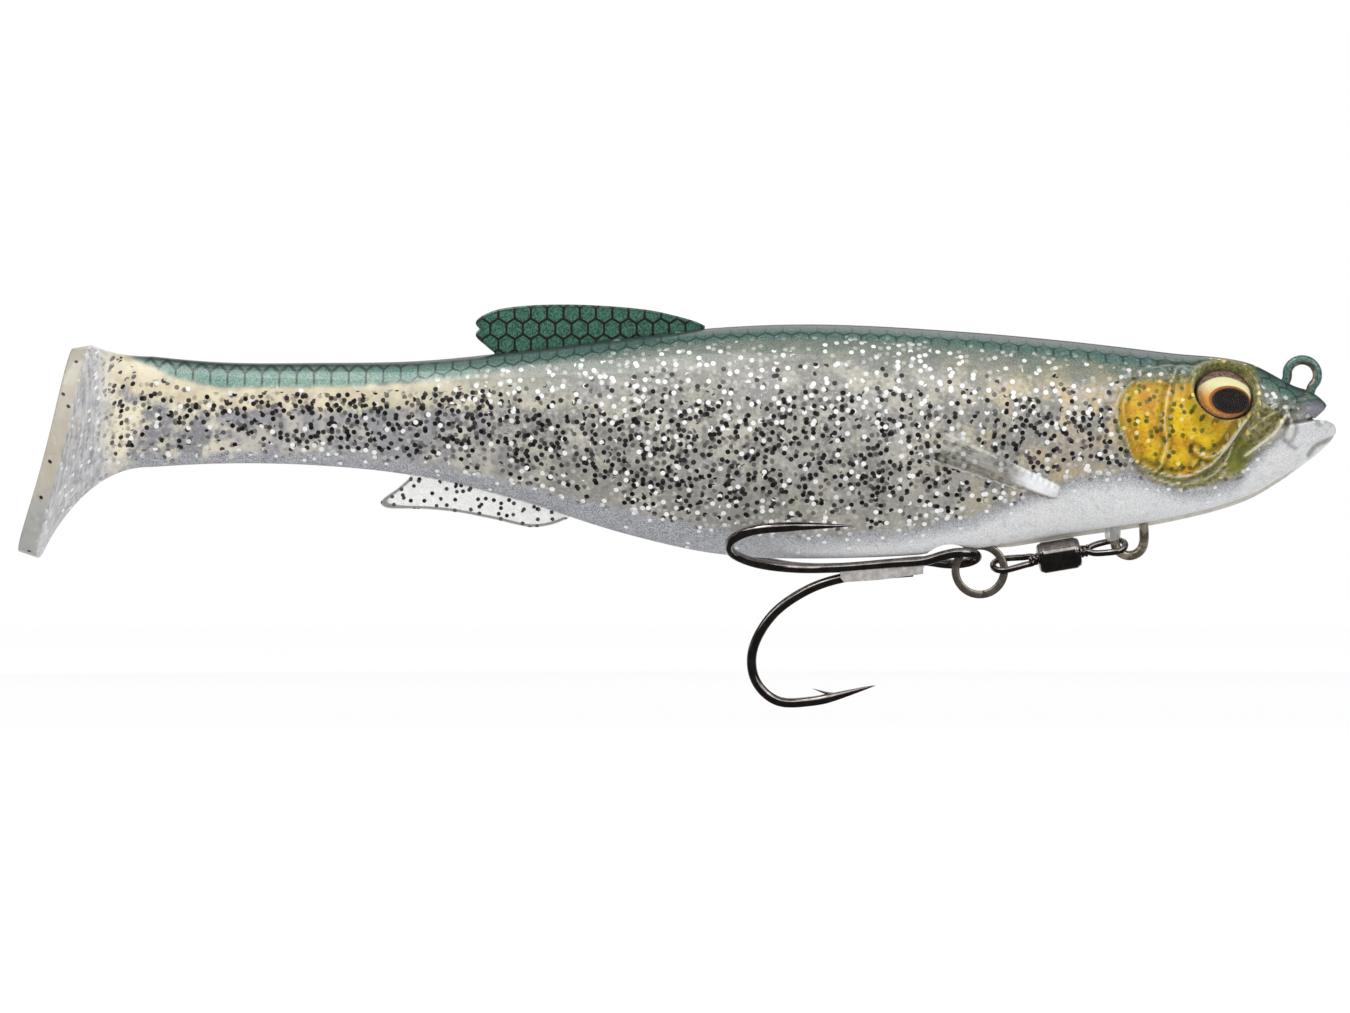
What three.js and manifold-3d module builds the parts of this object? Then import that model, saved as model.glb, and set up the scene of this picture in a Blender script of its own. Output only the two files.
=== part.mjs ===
// A soft paddle-tail swimming lure with a wire line tie, belly harness, swivel, ring and treble hook.
// Millimetres. +X points out of the nose, +Z out of the back; y = 0 is the plane the fish is mirrored in.
// The origin is the centre of the wire line tie's loop.
import * as THREE from "three";
import { mergeVertices } from "three/addons/utils/BufferGeometryUtils.js";
import Module from "manifold-3d";

const wasm = await Module();
wasm.setup();

const TURN = 2 * Math.PI;
const DEGREE = Math.PI / 180;
const GAP = 0.3; // clearance kept between neighbouring pieces
const PLAY = 0.12; // clearance between wires brazed together

// ---- the fish's shape ----
// Each station: distance along the length, back height, belly height, half width.
const STATIONS = [
  [5.0, -7.7, -8.9, 0.9],
  [4.3, -5.7, -10.0, 3.0],
  [3.1, -3.9, -11.2, 4.4],
  [1.1, -2.4, -12.9, 5.8],
  [-1.5, -1.5, -14.5, 6.9],
  [-8.9, 2.1, -18.8, 8.7],
  [-20.5, 3.5, -22.0, 10.1],
  [-35.8, 5.3, -24.4, 11.2],
  [-54.0, 6.9, -27.1, 11.6],
  [-74.0, 7.9, -28.1, 11.2],
  [-90.0, 7.4, -27.4, 10.0],
  [-105.0, 5.7, -24.1, 8.2],
  [-120.5, 3.8, -19.2, 6.2],
  [-135.8, 2.3, -15.5, 4.6],
  [-151.2, 2.0, -13.8, 3.6],
  [-166.6, 2.1, -13.5, 3.1],
  [-183.0, 3.6, -14.4, 2.8],
];
const BACK_ROUNDNESS = 2.1; // exponent of the rounded back
const BELLY_ROUNDNESS = 1.65; // a lower exponent pulls the belly in to a keel
const WIDEST_AT = 0.6; // height of the widest line, as a share of the section

// ---- how finely the skin is cut: flats round a ring, and rings along a stretch ----
const HEAD_SIDES = 36;
const REAR_SIDES = 28;
const TAIL_SIDES = 24;
const NOSE_RINGS = 9;
const CHEEK_PITCH = 2.2;
const TRUNK_RINGS = 20;
const BROW_X = -8; // the nose's close rings end here
const CHEEK_END_X = -32;

// ---- relief on the head and flanks ----
const GILL = { x: -15, z: -5.7, halfLength: 15.2, halfHeight: 11.6, rise: 0.55 };
const SIDE_FIN = {
  x: -47.7,
  z: -14.4,
  slope: 157.7,
  halfLength: 10.8,
  halfHeight: 2.4,
  widening: 0.12,
  rise: 0.8,
};
const EDGE_FADE = { gill: [0.93, 1.04], fin: [0.8, 1.05] }; // shares of the outline where relief dies away
const FLANK_FROM = 4; // relief has its full height this far out from the middle plane
// Outline of the notch between the snout and the lower jaw.
const MOUTH = [[-2.4, -7.15], [1.1, -6.55], [3.9, -4.9], [8, -3.4], [8, -7.2], [3.1, -6.95], [-0.9, -7.25]];

// ---- where the soft body bends ----
const TRUNK_FLEX = { x: -90, half: 1.7 };
const PEDUNCLE_FLEX = { x: -143, half: 1.5 };
const PADDLE_FLEX = { x: -180, half: 1.6 };

// ---- fins and tail ----
const FIN_THICKNESS = 1.2;
const FIN_LIFT = 0.5; // how far a fin's foot stands off the body it folds on
const PADDLE_HALF_WIDTH = 9.2;
const PADDLE_PLATE = { thin: 1.0, swell: 0.7 }; // half thickness at the ends, and what the middle adds
// Middle line of the plate seen from the side, from its top edge down.
const PADDLE_SPINE = [
  [-186.6, 4.3],
  [-188.1, 0.5],
  [-190.9, -8],
  [-193.2, -15.6],
  [-195.6, -23.5],
  [-196.4, -28],
];
// Rings that fair the peduncle into the plate: x, top, foot, half width.
const PADDLE_KEEL = [[-184, 3.6, -15.0, 2.3], [-187, 2.8, -17.4, 1.8], [-190, -2, -20.6, 1.3]];

// ---- eyes; layers are heights above the seat, outwards positive ----
const EYE = { x: -12.9, z: -2.6, radius: 4.2, yaw: 6, tilt: 27, lift: 0.4 };
const EYE_DISC = { low: -2.3, high: -1.5 };
const EYE_PUPIL = { low: -1.2, high: -0.7, radius: 2.1, stretch: 1.35 };
const EYE_LENS = { low: -0.4, edge: 0.3, rise: 2.1 };
const SOCKET = { low: EYE_DISC.low - GAP, high: 6, rimOut: 0.75, rimWire: 0.55, rimHeight: -0.35 };

// ---- wire hardware ----
const HARNESS_RADIUS = 0.74;
const LINE_TIE_RADIUS = 2.35;
const LINE_TIE = { x: -0.1, z: 0.12 };
const HANGER = { x: -26.7, z: -25.4, radius: 2.25 };
const HANGER_NUB = { radius: 1.15, below: 0.9, above: 3 }; // soft plastic round the hanger's rear leg
const SWIVEL = { x: -37.5, z: -27.6, tilt: 9.5, roll: 30, half: 3.2, radius: 2.4 };
const SWIVEL_WIRE = 0.5;
const SWIVEL_LOOP = { radius: 1.75, centre: 8.55 };
const SWIVEL_HEAD = { radius: 1.3, from: 0.35, to: 1.3 }; // turns inside the barrel's room
const SWIVEL_ROOM = 1.65;
const RING_RADIUS = 3.75;
const RING = {
  x: -45.95 - RING_RADIUS, // its front and its top stay where they are if it grows
  z: -26.15 - RING_RADIUS,
  radius: RING_RADIUS,
  radial: 0.6,
  axial: 0.31,
  pitch: 0.78,
};
const RING_GROOVE = { clear: 0.7, half: 2.9 }; // slot in the keel that the ring folds up into
const EYE_GROOVE = { behind: 1.2, below: 2.9, clear: 1.2 }; // shallower slot, for the hook's eye as it turns
const HOOK_WIRE = 0.75;
const HOOK_SLOPE = 4.5;
// The hook's eye hangs inside the ring, its front wire resting against the ring's inside at this angle.
const HOOK_EYE_HALF_WIDTH = HOOK_WIRE + RING.radial + 0.8;
const HOOK_EYE_HALF_LENGTH = HOOK_EYE_HALF_WIDTH + 0.9;
const HOOK_EYE_ROLL = 24;
const HOOK_RESTS_AT = 98;
const HOOK_EYE = hookEyeCentre();
const SHANK_SPREAD = HOOK_WIRE + PLAY; // each twin wire's offset from the shank's middle
const PRONG_ANGLES = { near: 68, far: -58, lower: 182 };
const TWIN_BEND_AT = 21.4;
const THIRD_BEND_AT = 19.2;
const THIRD_DROP = 2 * HOOK_WIRE + 0.05; // how far the third wire lies below the twin wires
// Bend of one prong from the end of its straight shank: run towards the tail, then depth off the shank.
const BEND = [[4.1, 1.45], [10, 5.05], [13.4, 10.4], [13.2, 14.9], [10.3, 18.1], [4.8, 18.65], [-5.1, 17]];
const BARB = { root: [2.2, 18.1], tip: [4.4, 16.9], radius: 0.42 };
const BRAZE = { length: 13, width: 2.5, height: 2.6, run: 11.75, rise: 0.35 };

// ---- inserts ----
const BALLAST = { x: -43.5, z: -18.3, half: 9.5, radius: 4.4 };
const MAGNET = { x: -64, z: -25.2, radius: 2.5, half: 1.5 };

// ============================ geometry helpers ============================

const vec = (x, y, z) => new THREE.Vector3(x, y, z);

function solid(geometry) {
  const plain = geometry.index ? geometry.toNonIndexed() : geometry.clone();
  plain.deleteAttribute("normal");
  plain.deleteAttribute("uv");
  const merged = mergeVertices(plain, 1e-4);
  return new wasm.Manifold(
    new wasm.Mesh({
      numProp: 3,
      vertProperties: merged.attributes.position.array,
      triVerts: new Uint32Array(merged.index.array),
    }),
  );
}

function geometryOf(body) {
  const mesh = body.getMesh();
  const flat = new Float32Array(mesh.numVert * 3);
  for (let i = 0; i < mesh.numVert; i++) {
    const start = i * mesh.numProp;
    flat.set(mesh.vertProperties.subarray(start, start + 3), i * 3);
  }
  const geometry = new THREE.BufferGeometry();
  geometry.setAttribute("position", new THREE.BufferAttribute(flat, 3));
  geometry.setIndex(new THREE.BufferAttribute(new Uint32Array(mesh.triVerts), 1));
  return geometry;
}

// A closed solid through a row of equal rings of points, with flat ends.
function skinRings(rings) {
  const count = rings[0].length;
  const points = rings.flat();
  const faces = [];
  for (let i = 0; i < rings.length - 1; i++) {
    for (let k = 0; k < count; k++) {
      const l = (k + 1) % count;
      const a = i * count + k;
      const b = i * count + l;
      const c = (i + 1) * count + l;
      const d = (i + 1) * count + k;
      faces.push(a, b, c, a, c, d);
    }
  }
  for (const [row, flip] of [[0, true], [rings.length - 1, false]]) {
    const middle = vec(0, 0, 0);
    rings[row].forEach((p) => middle.addScaledVector(p, 1 / count));
    const hub = points.push(middle) - 1;
    for (let k = 0; k < count; k++) {
      const a = row * count + k;
      const b = row * count + ((k + 1) % count);
      faces.push(hub, flip ? b : a, flip ? a : b);
    }
  }
  const flat = points.flatMap((p) => [p.x, p.y, p.z]);
  const geometry = new THREE.BufferGeometry();
  geometry.setAttribute("position", new THREE.Float32BufferAttribute(flat, 3));
  geometry.setIndex(faces);
  const made = solid(geometry);
  if (made.volume() > 0) return geometry;
  for (let i = 0; i < faces.length; i += 3) {
    [faces[i + 1], faces[i + 2]] = [faces[i + 2], faces[i + 1]];
  }
  geometry.setIndex(faces);
  return geometry;
}

// A wire swept along a curve; thickness(t) scales its radius, and the frame is carried along without twist.
function wire(curve, radius, steps, sides = 8, thickness = () => 1) {
  const frames = curve.computeFrenetFrames(steps, false);
  const rings = [];
  for (let i = 0; i <= steps; i++) {
    const t = i / steps;
    const centre = curve.getPointAt(t);
    const size = radius * thickness(t);
    const ring = [];
    for (let k = 0; k < sides; k++) {
      const turn = (TURN * k) / sides;
      ring.push(
        centre
          .clone()
          .addScaledVector(frames.normals[i], size * Math.cos(turn))
          .addScaledVector(frames.binormals[i], size * Math.sin(turn)),
      );
    }
    rings.push(ring);
  }
  return skinRings(rings);
}

const smoothCurve = (points) => new THREE.CatmullRomCurve3(points, false, "centripetal");

// Smooth value between stations, sloped like its neighbours.
function between(column, x) {
  const rows = STATIONS;
  let i = 0;
  while (i < rows.length - 2 && x < rows[i + 1][0]) i++;
  const slope = (j) => {
    const a = rows[Math.max(0, j - 1)];
    const b = rows[Math.min(rows.length - 1, j + 1)];
    return (b[column] - a[column]) / (b[0] - a[0]);
  };
  const [p, q] = [rows[i], rows[i + 1]];
  const span = q[0] - p[0];
  const t = Math.min(1, Math.max(0, (x - p[0]) / span));
  const held = t * t * (3 - 2 * t);
  const out = t * (1 - t) * (1 - t) * span;
  const back = t * t * (1 - t) * span;
  return p[column] * (1 - held) + q[column] * held + slope(i) * out - slope(i + 1) * back;
}

function smoothstep(low, high, x) {
  const t = Math.min(1, Math.max(0, (x - low) / (high - low)));
  return t * t * (3 - 2 * t);
}

// ============================ the soft body ============================

// How far the moulded gill cover and side fin stand proud of the plain body.
function relief(x, z) {
  const gill = Math.hypot((x - GILL.x) / GILL.halfLength, (z - GILL.z) / GILL.halfHeight);
  const cover = GILL.rise * (1 - smoothstep(...EDGE_FADE.gill, gill));
  const turn = SIDE_FIN.slope * DEGREE;
  const [dx, dz] = [x - SIDE_FIN.x, z - SIDE_FIN.z];
  const along = dx * Math.cos(turn) + dz * Math.sin(turn);
  const across = -dx * Math.sin(turn) + dz * Math.cos(turn);
  const finHalfHeight = SIDE_FIN.halfHeight + SIDE_FIN.widening * along;
  const fin = Math.hypot(along / SIDE_FIN.halfLength, across / finHalfHeight);
  return cover + SIDE_FIN.rise * (1 - smoothstep(...EDGE_FADE.fin, fin));
}

function section(x, count) {
  const back = between(1, x);
  const belly = between(2, x);
  const width = between(3, x);
  const middle = belly + WIDEST_AT * (back - belly);
  const ring = [];
  for (let k = 0; k < count; k++) {
    const turn = (TURN * (k + 0.5)) / count;
    const up = Math.sin(turn);
    const side = Math.cos(turn);
    const power = 2 / (up > 0 ? BACK_ROUNDNESS : BELLY_ROUNDNESS);
    const height = up > 0 ? back - middle : middle - belly;
    const z = middle + height * Math.sign(up) * Math.abs(up) ** power;
    const y = width * Math.sign(side) * Math.abs(side) ** power;
    const proud = relief(x, z) * Math.min(1, Math.abs(y) / FLANK_FROM);
    ring.push(vec(x, y + Math.sign(y) * proud, z));
  }
  return ring;
}

function bodySegment(front, rear, steps, count) {
  const rings = [];
  for (let i = 0; i <= steps; i++) rings.push(section(front + ((rear - front) * i) / steps, count));
  return skinRings(rings);
}

// Half width of the plain body at a height on the back's side of the widest line.
function backHalfWidth(x, z) {
  const back = between(1, x);
  const belly = between(2, x);
  const middle = belly + WIDEST_AT * (back - belly);
  const rise = Math.min(1, Math.max(0, (z - middle) / (back - middle)));
  return between(3, x) * (1 - rise ** BACK_ROUNDNESS) ** (1 / BACK_ROUNDNESS);
}

// Places a geometry made along +Z at an eye, facing out of that side.
function atEye(geometry, side) {
  const out = vec(
    Math.sin(EYE.yaw * DEGREE),
    side * Math.cos(EYE.yaw * DEGREE) * Math.cos(EYE.tilt * DEGREE),
    Math.sin(EYE.tilt * DEGREE),
  ).normalize();
  const seat = vec(EYE.x, side * (backHalfWidth(EYE.x, EYE.z) + EYE.lift), EYE.z);
  const turn = new THREE.Quaternion().setFromUnitVectors(vec(0, 0, 1), out);
  return geometry.applyQuaternion(turn).translate(seat.x, seat.y, seat.z);
}

// A round bar along +Z from low to high.
function bar(radius, low, high, sides = 24) {
  const geometry = new THREE.CylinderGeometry(radius, radius, high - low, sides);
  return geometry.rotateX(Math.PI / 2).translate(0, 0, (low + high) / 2);
}

// The notch between the snout and the lower jaw, cut right across the head.
function mouthCut() {
  const shape = new THREE.Shape(MOUTH.map(([x, z]) => new THREE.Vector2(x, z)));
  const depth = 24;
  const cut = new THREE.ExtrudeGeometry(shape, { depth, bevelEnabled: false });
  return cut.rotateX(Math.PI / 2).translate(0, depth / 2, 0);
}

function headRings() {
  const rings = [];
  const nose = STATIONS[0][0];
  for (let i = 0; i < NOSE_RINGS; i++) {
    const t = i / NOSE_RINGS;
    rings.push(section(nose - (nose - BROW_X) * t * t, HEAD_SIDES));
  }
  for (let x = BROW_X; x > CHEEK_END_X; x -= CHEEK_PITCH) rings.push(section(x, HEAD_SIDES));
  const rear = TRUNK_FLEX.x + TRUNK_FLEX.half;
  for (let i = 0; i <= TRUNK_RINGS; i++) {
    rings.push(section(CHEEK_END_X + ((rear - CHEEK_END_X) * i) / TRUNK_RINGS, HEAD_SIDES));
  }
  return rings;
}

// The slot in the keel that the split ring folds up into.
function ringGroove() {
  const radius = RING.radius + RING.radial + RING_GROOVE.clear;
  const groove = bar(radius, -RING_GROOVE.half, RING_GROOVE.half, 32);
  return groove.rotateX(Math.PI / 2).translate(RING.x, 0, RING.z);
}

// The slot that leaves the hook's eye room to turn with the swivel.
function hookEyeGroove() {
  const radius = HOOK_EYE_HALF_LENGTH + HOOK_WIRE + EYE_GROOVE.clear;
  const groove = bar(radius, -RING_GROOVE.half, RING_GROOVE.half, 32).rotateX(Math.PI / 2);
  return groove.translate(HOOK_EYE.x - EYE_GROOVE.behind, 0, HOOK_EYE.z - EYE_GROOVE.below);
}

// The magnet's pocket, open through the belly.
function magnetPocket() {
  const openTo = -MAGNET.half - 6;
  const pocket = bar(MAGNET.radius + GAP, openTo, MAGNET.half + GAP);
  return pocket.translate(MAGNET.x, 0, MAGNET.z);
}

function hangerNub() {
  const belly = between(2, HANGER.x);
  const nub = bar(HANGER_NUB.radius, belly - HANGER_NUB.below, belly + HANGER_NUB.above, 12);
  return nub.translate(HANGER.x - HANGER.radius, 0, 0);
}

function headAndTrunk() {
  let body = solid(skinRings(headRings()));
  for (const side of [-1, 1]) {
    const rim = new THREE.TorusGeometry(EYE.radius + SOCKET.rimOut, SOCKET.rimWire, 8, 28);
    body = body.add(solid(atEye(rim.translate(0, 0, SOCKET.rimHeight), side)));
    body = body.subtract(solid(atEye(bar(EYE.radius + GAP, SOCKET.low, SOCKET.high), side)));
  }
  body = body.subtract(solid(mouthCut()));
  body = body.add(solid(hangerNub()));
  const runsPast = 0.6; // the channel is this much longer than the wire at each end
  body = body.subtract(solid(wire(harnessPath(runsPast), HARNESS_RADIUS + GAP, 84, 8)));
  body = body.subtract(solid(ballast(GAP, 0)));
  body = body.subtract(solid(ringGroove()));
  body = body.subtract(solid(hookEyeGroove()));
  body = body.subtract(solid(magnetPocket()));
  return geometryOf(body);
}

function flexZone(joint, count) {
  const half = joint.half - GAP;
  return bodySegment(joint.x + half, joint.x - half, 2, count);
}

// ============================ fins and tail ============================

function finPlate(outline) {
  const shape = new THREE.Shape();
  outline.forEach(([x, z], i) => (i ? shape.lineTo(x, z) : shape.moveTo(x, z)));
  shape.closePath();
  const plate = new THREE.ExtrudeGeometry(shape, { depth: FIN_THICKNESS, bevelEnabled: false });
  return plate.rotateX(Math.PI / 2).translate(0, FIN_THICKNESS / 2, 0);
}

// Rotating the drawing plane by +90 degrees about X sends its y to +Z and its depth to -Y.
function dorsalFin() {
  const foot = (x) => between(1, x) + FIN_LIFT;
  return finPlate([
    [-94.2, foot(-94.2)],
    [-94.2, 8.3],
    [-97.4, 9.1],
    [-101.2, 9.85],
    [-111.7, 10.6],
    [-120.5, 10.3],
    [-124.3, 9.7],
    [-126.6, 8.2],
    [-126.2, 7.2],
    [-126.8, 6.3],
    [-123.6, foot(-123.6)],
    [-114, foot(-114)],
    [-104, foot(-104)],
  ]);
}

function analFin() {
  const foot = (x) => between(2, x) - FIN_LIFT;
  return finPlate([
    [-113.4, foot(-113.4)],
    [-121, foot(-121)],
    [-129, foot(-129)],
    [-136.7, foot(-136.7)],
    [-141.7, -19.6],
    [-141.0, -20.1],
    [-130.2, -20.9],
    [-118.8, -23.1],
    [-115.0, -22.9],
  ]);
}

// Cross rings of the paddle's plate, which is widest in its lower half.
function paddlePlateRings() {
  const spine = smoothCurve(PADDLE_SPINE.map(([x, z]) => vec(x, 0, z)));
  const steps = 18;
  const rings = [];
  for (let i = 0; i <= steps; i++) {
    const t = i / steps;
    const centre = spine.getPointAt(t);
    const along = spine.getTangentAt(t);
    const across = vec(-along.z, 0, along.x);
    const fullness = Math.sin(Math.PI * (0.06 + 0.9 * t ** 1.35));
    const width = PADDLE_HALF_WIDTH * Math.sqrt(Math.max(0.02, fullness));
    const half = PADDLE_PLATE.thin + PADDLE_PLATE.swell * Math.sin(Math.PI * t);
    const ring = [];
    for (let k = 0; k < TAIL_SIDES; k++) {
      const turn = (TURN * k) / TAIL_SIDES;
      const depth = half * Math.sign(Math.sin(turn)) * Math.abs(Math.sin(turn)) ** 0.7;
      ring.push(centre.clone().addScaledVector(across, depth).add(vec(0, width * Math.cos(turn), 0)));
    }
    rings.push(ring);
  }
  return rings;
}

// The paddle: a tilted plate seen edge-on from the side, faired into the peduncle by a keel.
function paddleTail() {
  const plate = solid(skinRings(paddlePlateRings()));
  const keel = [section(PADDLE_FLEX.x - PADDLE_FLEX.half, TAIL_SIDES)];
  for (const [x, top, foot, half] of PADDLE_KEEL) {
    const ring = [];
    for (let k = 0; k < TAIL_SIDES; k++) {
      const turn = (TURN * (k + 0.5)) / TAIL_SIDES;
      ring.push(vec(x, half * Math.cos(turn), (top + foot) / 2 + ((top - foot) / 2) * Math.sin(turn)));
    }
    keel.push(ring);
  }
  return geometryOf(plate.add(solid(skinRings(keel))));
}

// ============================ eyes ============================

function eyeDisc() {
  return bar(EYE.radius, EYE_DISC.low, EYE_DISC.high, 28);
}

function eyePupil() {
  return bar(EYE_PUPIL.radius, EYE_PUPIL.low, EYE_PUPIL.high, 24).scale(EYE_PUPIL.stretch, 1, 1);
}

function eyeLens() {
  const { low, edge, rise } = EYE_LENS;
  const profile = [new THREE.Vector2(0, low), new THREE.Vector2(EYE.radius, low)];
  const steps = 6;
  for (let i = 0; i <= steps; i++) {
    const turn = (Math.PI / 2) * (i / steps);
    profile.push(new THREE.Vector2(EYE.radius * Math.cos(turn), low + edge + rise * Math.sin(turn)));
  }
  profile[profile.length - 1].x = 0;
  return new THREE.LatheGeometry(profile, 28).rotateX(Math.PI / 2);
}

// ============================ harness and inserts ============================

// A point of a loop in the middle plane, at an angle in degrees from straight ahead.
function onLoop(loop, radius, angle) {
  const turn = angle * DEGREE;
  return vec(loop.x + radius * Math.cos(turn), 0, loop.z + radius * Math.sin(turn));
}

// The one wire: line tie at the nose, through the head, hanger loop under the belly, back into the body.
function harnessPath(extra = 0) {
  const points = [vec(-4.2 - extra, 0, -4.2 - extra), vec(-3.1, 0, -1.9)];
  for (let angle = 190; angle >= -50; angle -= 30) points.push(onLoop(LINE_TIE, LINE_TIE_RADIUS, angle));
  points.push(vec(0.6, 0, -3.6), vec(-4, 0, -5.9), vec(-14, 0, -11.5), vec(-21.5, 0, -16.5));
  const front = HANGER.x + HANGER.radius;
  const rear = HANGER.x - HANGER.radius;
  points.push(vec(front - 0.1, 0, -20.5), vec(front, 0, -23.5));
  for (let angle = 0; angle >= -180; angle -= 30) points.push(onLoop(HANGER, HANGER.radius, angle));
  points.push(vec(rear, 0, -22.5), vec(rear - 1.0, 0, -19.9), vec(BALLAST.x + 10.5, 0, BALLAST.z));
  points.push(vec(BALLAST.x, 0, BALLAST.z), vec(BALLAST.x - BALLAST.half - 2 - extra, 0, BALLAST.z));
  return smoothCurve(points);
}

// A spindle weight threaded on the wire, fattened by grow; a hole of no radius leaves it solid.
function ballast(grow = 0, hole = HARNESS_RADIUS + GAP) {
  const profile = [];
  const steps = 8;
  const half = BALLAST.half + grow;
  const neck = HARNESS_RADIUS + GAP + 0.7 + grow;
  for (let i = 0; i <= steps; i++) {
    const s = -1 + (2 * i) / steps;
    const radius = neck + (BALLAST.radius + grow - neck) * Math.sqrt(1 - s * s);
    profile.push(new THREE.Vector2(radius, half * s));
  }
  profile.push(new THREE.Vector2(hole, half));
  profile.unshift(new THREE.Vector2(hole, -half));
  if (hole > 0) profile.push(profile[0].clone());
  const geometry = new THREE.LatheGeometry(profile, 20).rotateZ(Math.PI / 2);
  return geometry.translate(BALLAST.x, 0, BALLAST.z);
}

function magnet() {
  return bar(MAGNET.radius, -MAGNET.half, MAGNET.half).translate(MAGNET.x, 0, MAGNET.z);
}

// ============================ swivel and ring ============================

// Turns a geometry drawn along +X (towards the hanger) about the swivel's middle into its place.
function placeOnSwivel(geometry) {
  return geometry
    .rotateX(SWIVEL.roll * DEGREE)
    .rotateY(-SWIVEL.tilt * DEGREE)
    .translate(SWIVEL.x, 0, SWIVEL.z);
}

function swivelBarrel() {
  const bore = SWIVEL_WIRE + GAP;
  const room = SWIVEL_ROOM;
  const { half, radius } = SWIVEL;
  const profile = [[bore, -half], [radius - 0.9, -half], [radius - 0.3, -half + 0.3], [radius, -half + 0.9]];
  profile.push([radius, half - 0.9], [radius - 0.3, half - 0.3], [radius - 0.9, half], [bore, half]);
  profile.push([bore, 2.0], [room, 1.9], [room, -1.9], [bore, -2.0], [bore, -half]);
  const points = profile.map(([r, h]) => new THREE.Vector2(r, h));
  return placeOnSwivel(new THREE.LatheGeometry(points, 20).rotateZ(-Math.PI / 2));
}

// A teardrop wire eye with a stem and a head that turns inside the barrel.
// end is +1 at the hanger and -1 at the ring.
function swivelEye(end) {
  const { radius, centre } = SWIVEL_LOOP;
  const points = [vec(3.5, 0.62, 0), vec(5.2, 1.15, 0)];
  for (let angle = 105; angle >= -105; angle -= 30) {
    const turn = angle * DEGREE;
    points.push(vec(centre + radius * Math.cos(turn), radius * Math.sin(turn), 0));
  }
  points.push(vec(5.2, -1.15, 0), vec(3.5, -0.62, 0));
  const loop = solid(wire(smoothCurve(points), SWIVEL_WIRE, 24, 8));
  const along = (geometry) => solid(geometry.rotateY(Math.PI / 2));
  const stem = along(bar(SWIVEL_WIRE, 1.0, 3.4, 12));
  const head = along(bar(SWIVEL_HEAD.radius, SWIVEL_HEAD.from, SWIVEL_HEAD.to, 14));
  const ball = new THREE.SphereGeometry(1.15, 10, 6).scale(0.62, 1, 0.8);
  const collar = solid(ball.translate(3.65, 0, 0));
  const geometry = geometryOf(loop.add(stem).add(head).add(collar));
  return placeOnSwivel(end > 0 ? geometry : geometry.rotateZ(Math.PI));
}

// Section of the ring's flattened wire, as shares of its two half sizes.
const FLAT_WIRE = [[-1, -0.6], [-1, 0.6], [0, 1], [1, 0.6], [1, -0.6], [0, -1]];

// Two flat coils of one split wire, axis along Y.
function splitRing() {
  const steps = 48;
  const rings = [];
  const start = -80 * DEGREE;
  const total = 2 * TURN - 8 * DEGREE;
  for (let i = 0; i <= steps; i++) {
    const t = i / steps;
    const turn = start + total * t;
    const out = vec(Math.cos(turn), 0, Math.sin(turn));
    const step = RING.pitch * (smoothstep(0.42, 0.58, t) - 0.5);
    const centre = vec(RING.x, step, RING.z).addScaledVector(out, RING.radius);
    const ring = [];
    for (const [r, a] of FLAT_WIRE) {
      ring.push(centre.clone().addScaledVector(out, r * RING.radial).add(vec(0, a * RING.axial, 0)));
    }
    rings.push(ring);
  }
  return skinRings(rings);
}

// ============================ treble hook ============================

// Middle of the hook's eye, found from where its front wire rests inside the ring.
function hookEyeCentre() {
  const reach = RING.radius - RING.radial - HOOK_WIRE - GAP;
  const at = HOOK_RESTS_AT * DEGREE;
  const slope = HOOK_SLOPE * DEGREE;
  return {
    x: RING.x + reach * Math.cos(at) - HOOK_EYE_HALF_LENGTH * Math.cos(slope),
    z: RING.z + reach * Math.sin(at) - HOOK_EYE_HALF_LENGTH * Math.sin(slope),
  };
}

const HOOK_ALONG = vec(-Math.cos(HOOK_SLOPE * DEGREE), 0, -Math.sin(HOOK_SLOPE * DEGREE));
const HOOK_UP = vec(-Math.sin(HOOK_SLOPE * DEGREE), 0, Math.cos(HOOK_SLOPE * DEGREE));

// A point run mm behind the hook's eye, up mm above its shank and side mm across (+ is the far side).
function onHook(run, up, side) {
  return vec(HOOK_EYE.x, side, HOOK_EYE.z).addScaledVector(HOOK_ALONG, run).addScaledVector(HOOK_UP, up);
}

// A point of a prong's plane, which leans at an angle from straight up towards the near side.
function onProng(angle, bendAt, up, side, [run, depth]) {
  const turn = angle * DEGREE;
  return onHook(bendAt + run, up + depth * Math.cos(turn), side - depth * Math.sin(turn));
}

function prong(angle, bendAt, up, side) {
  return BEND.map((point) => onProng(angle, bendAt, up, side, point));
}

// A little spike cut up out of the prong near its point, leaning back towards the bend.
function barb(angle, bendAt, up, side) {
  const root = onProng(angle, bendAt, up, side, BARB.root);
  const tip = onProng(angle, bendAt, up, side, BARB.tip);
  const lean = tip.clone().sub(root);
  const spike = new THREE.ConeGeometry(BARB.radius, lean.length(), 8).translate(0, lean.length() / 2, 0);
  spike.applyQuaternion(new THREE.Quaternion().setFromUnitVectors(vec(0, 1, 0), lean.normalize()));
  return solid(spike.translate(root.x, root.y, root.z));
}

const taperBothEnds = (t) => Math.min(1, 0.12 + 0.88 * smoothstep(0, 0.075, Math.min(t, 1 - t)));
const taperFarEnd = (t) => Math.min(1, 0.12 + 0.88 * smoothstep(0, 0.14, 1 - t));

// A point of the hook's eye, at an angle in degrees from its front; positive angles are on the far side.
function onHookEye(degrees) {
  const roll = HOOK_EYE_ROLL * DEGREE;
  const turn = degrees * DEGREE;
  const reach = HOOK_EYE_HALF_WIDTH * Math.sin(turn);
  return onHook(-HOOK_EYE_HALF_LENGTH * Math.cos(turn), -reach * Math.sin(roll), reach * Math.cos(roll));
}

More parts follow.
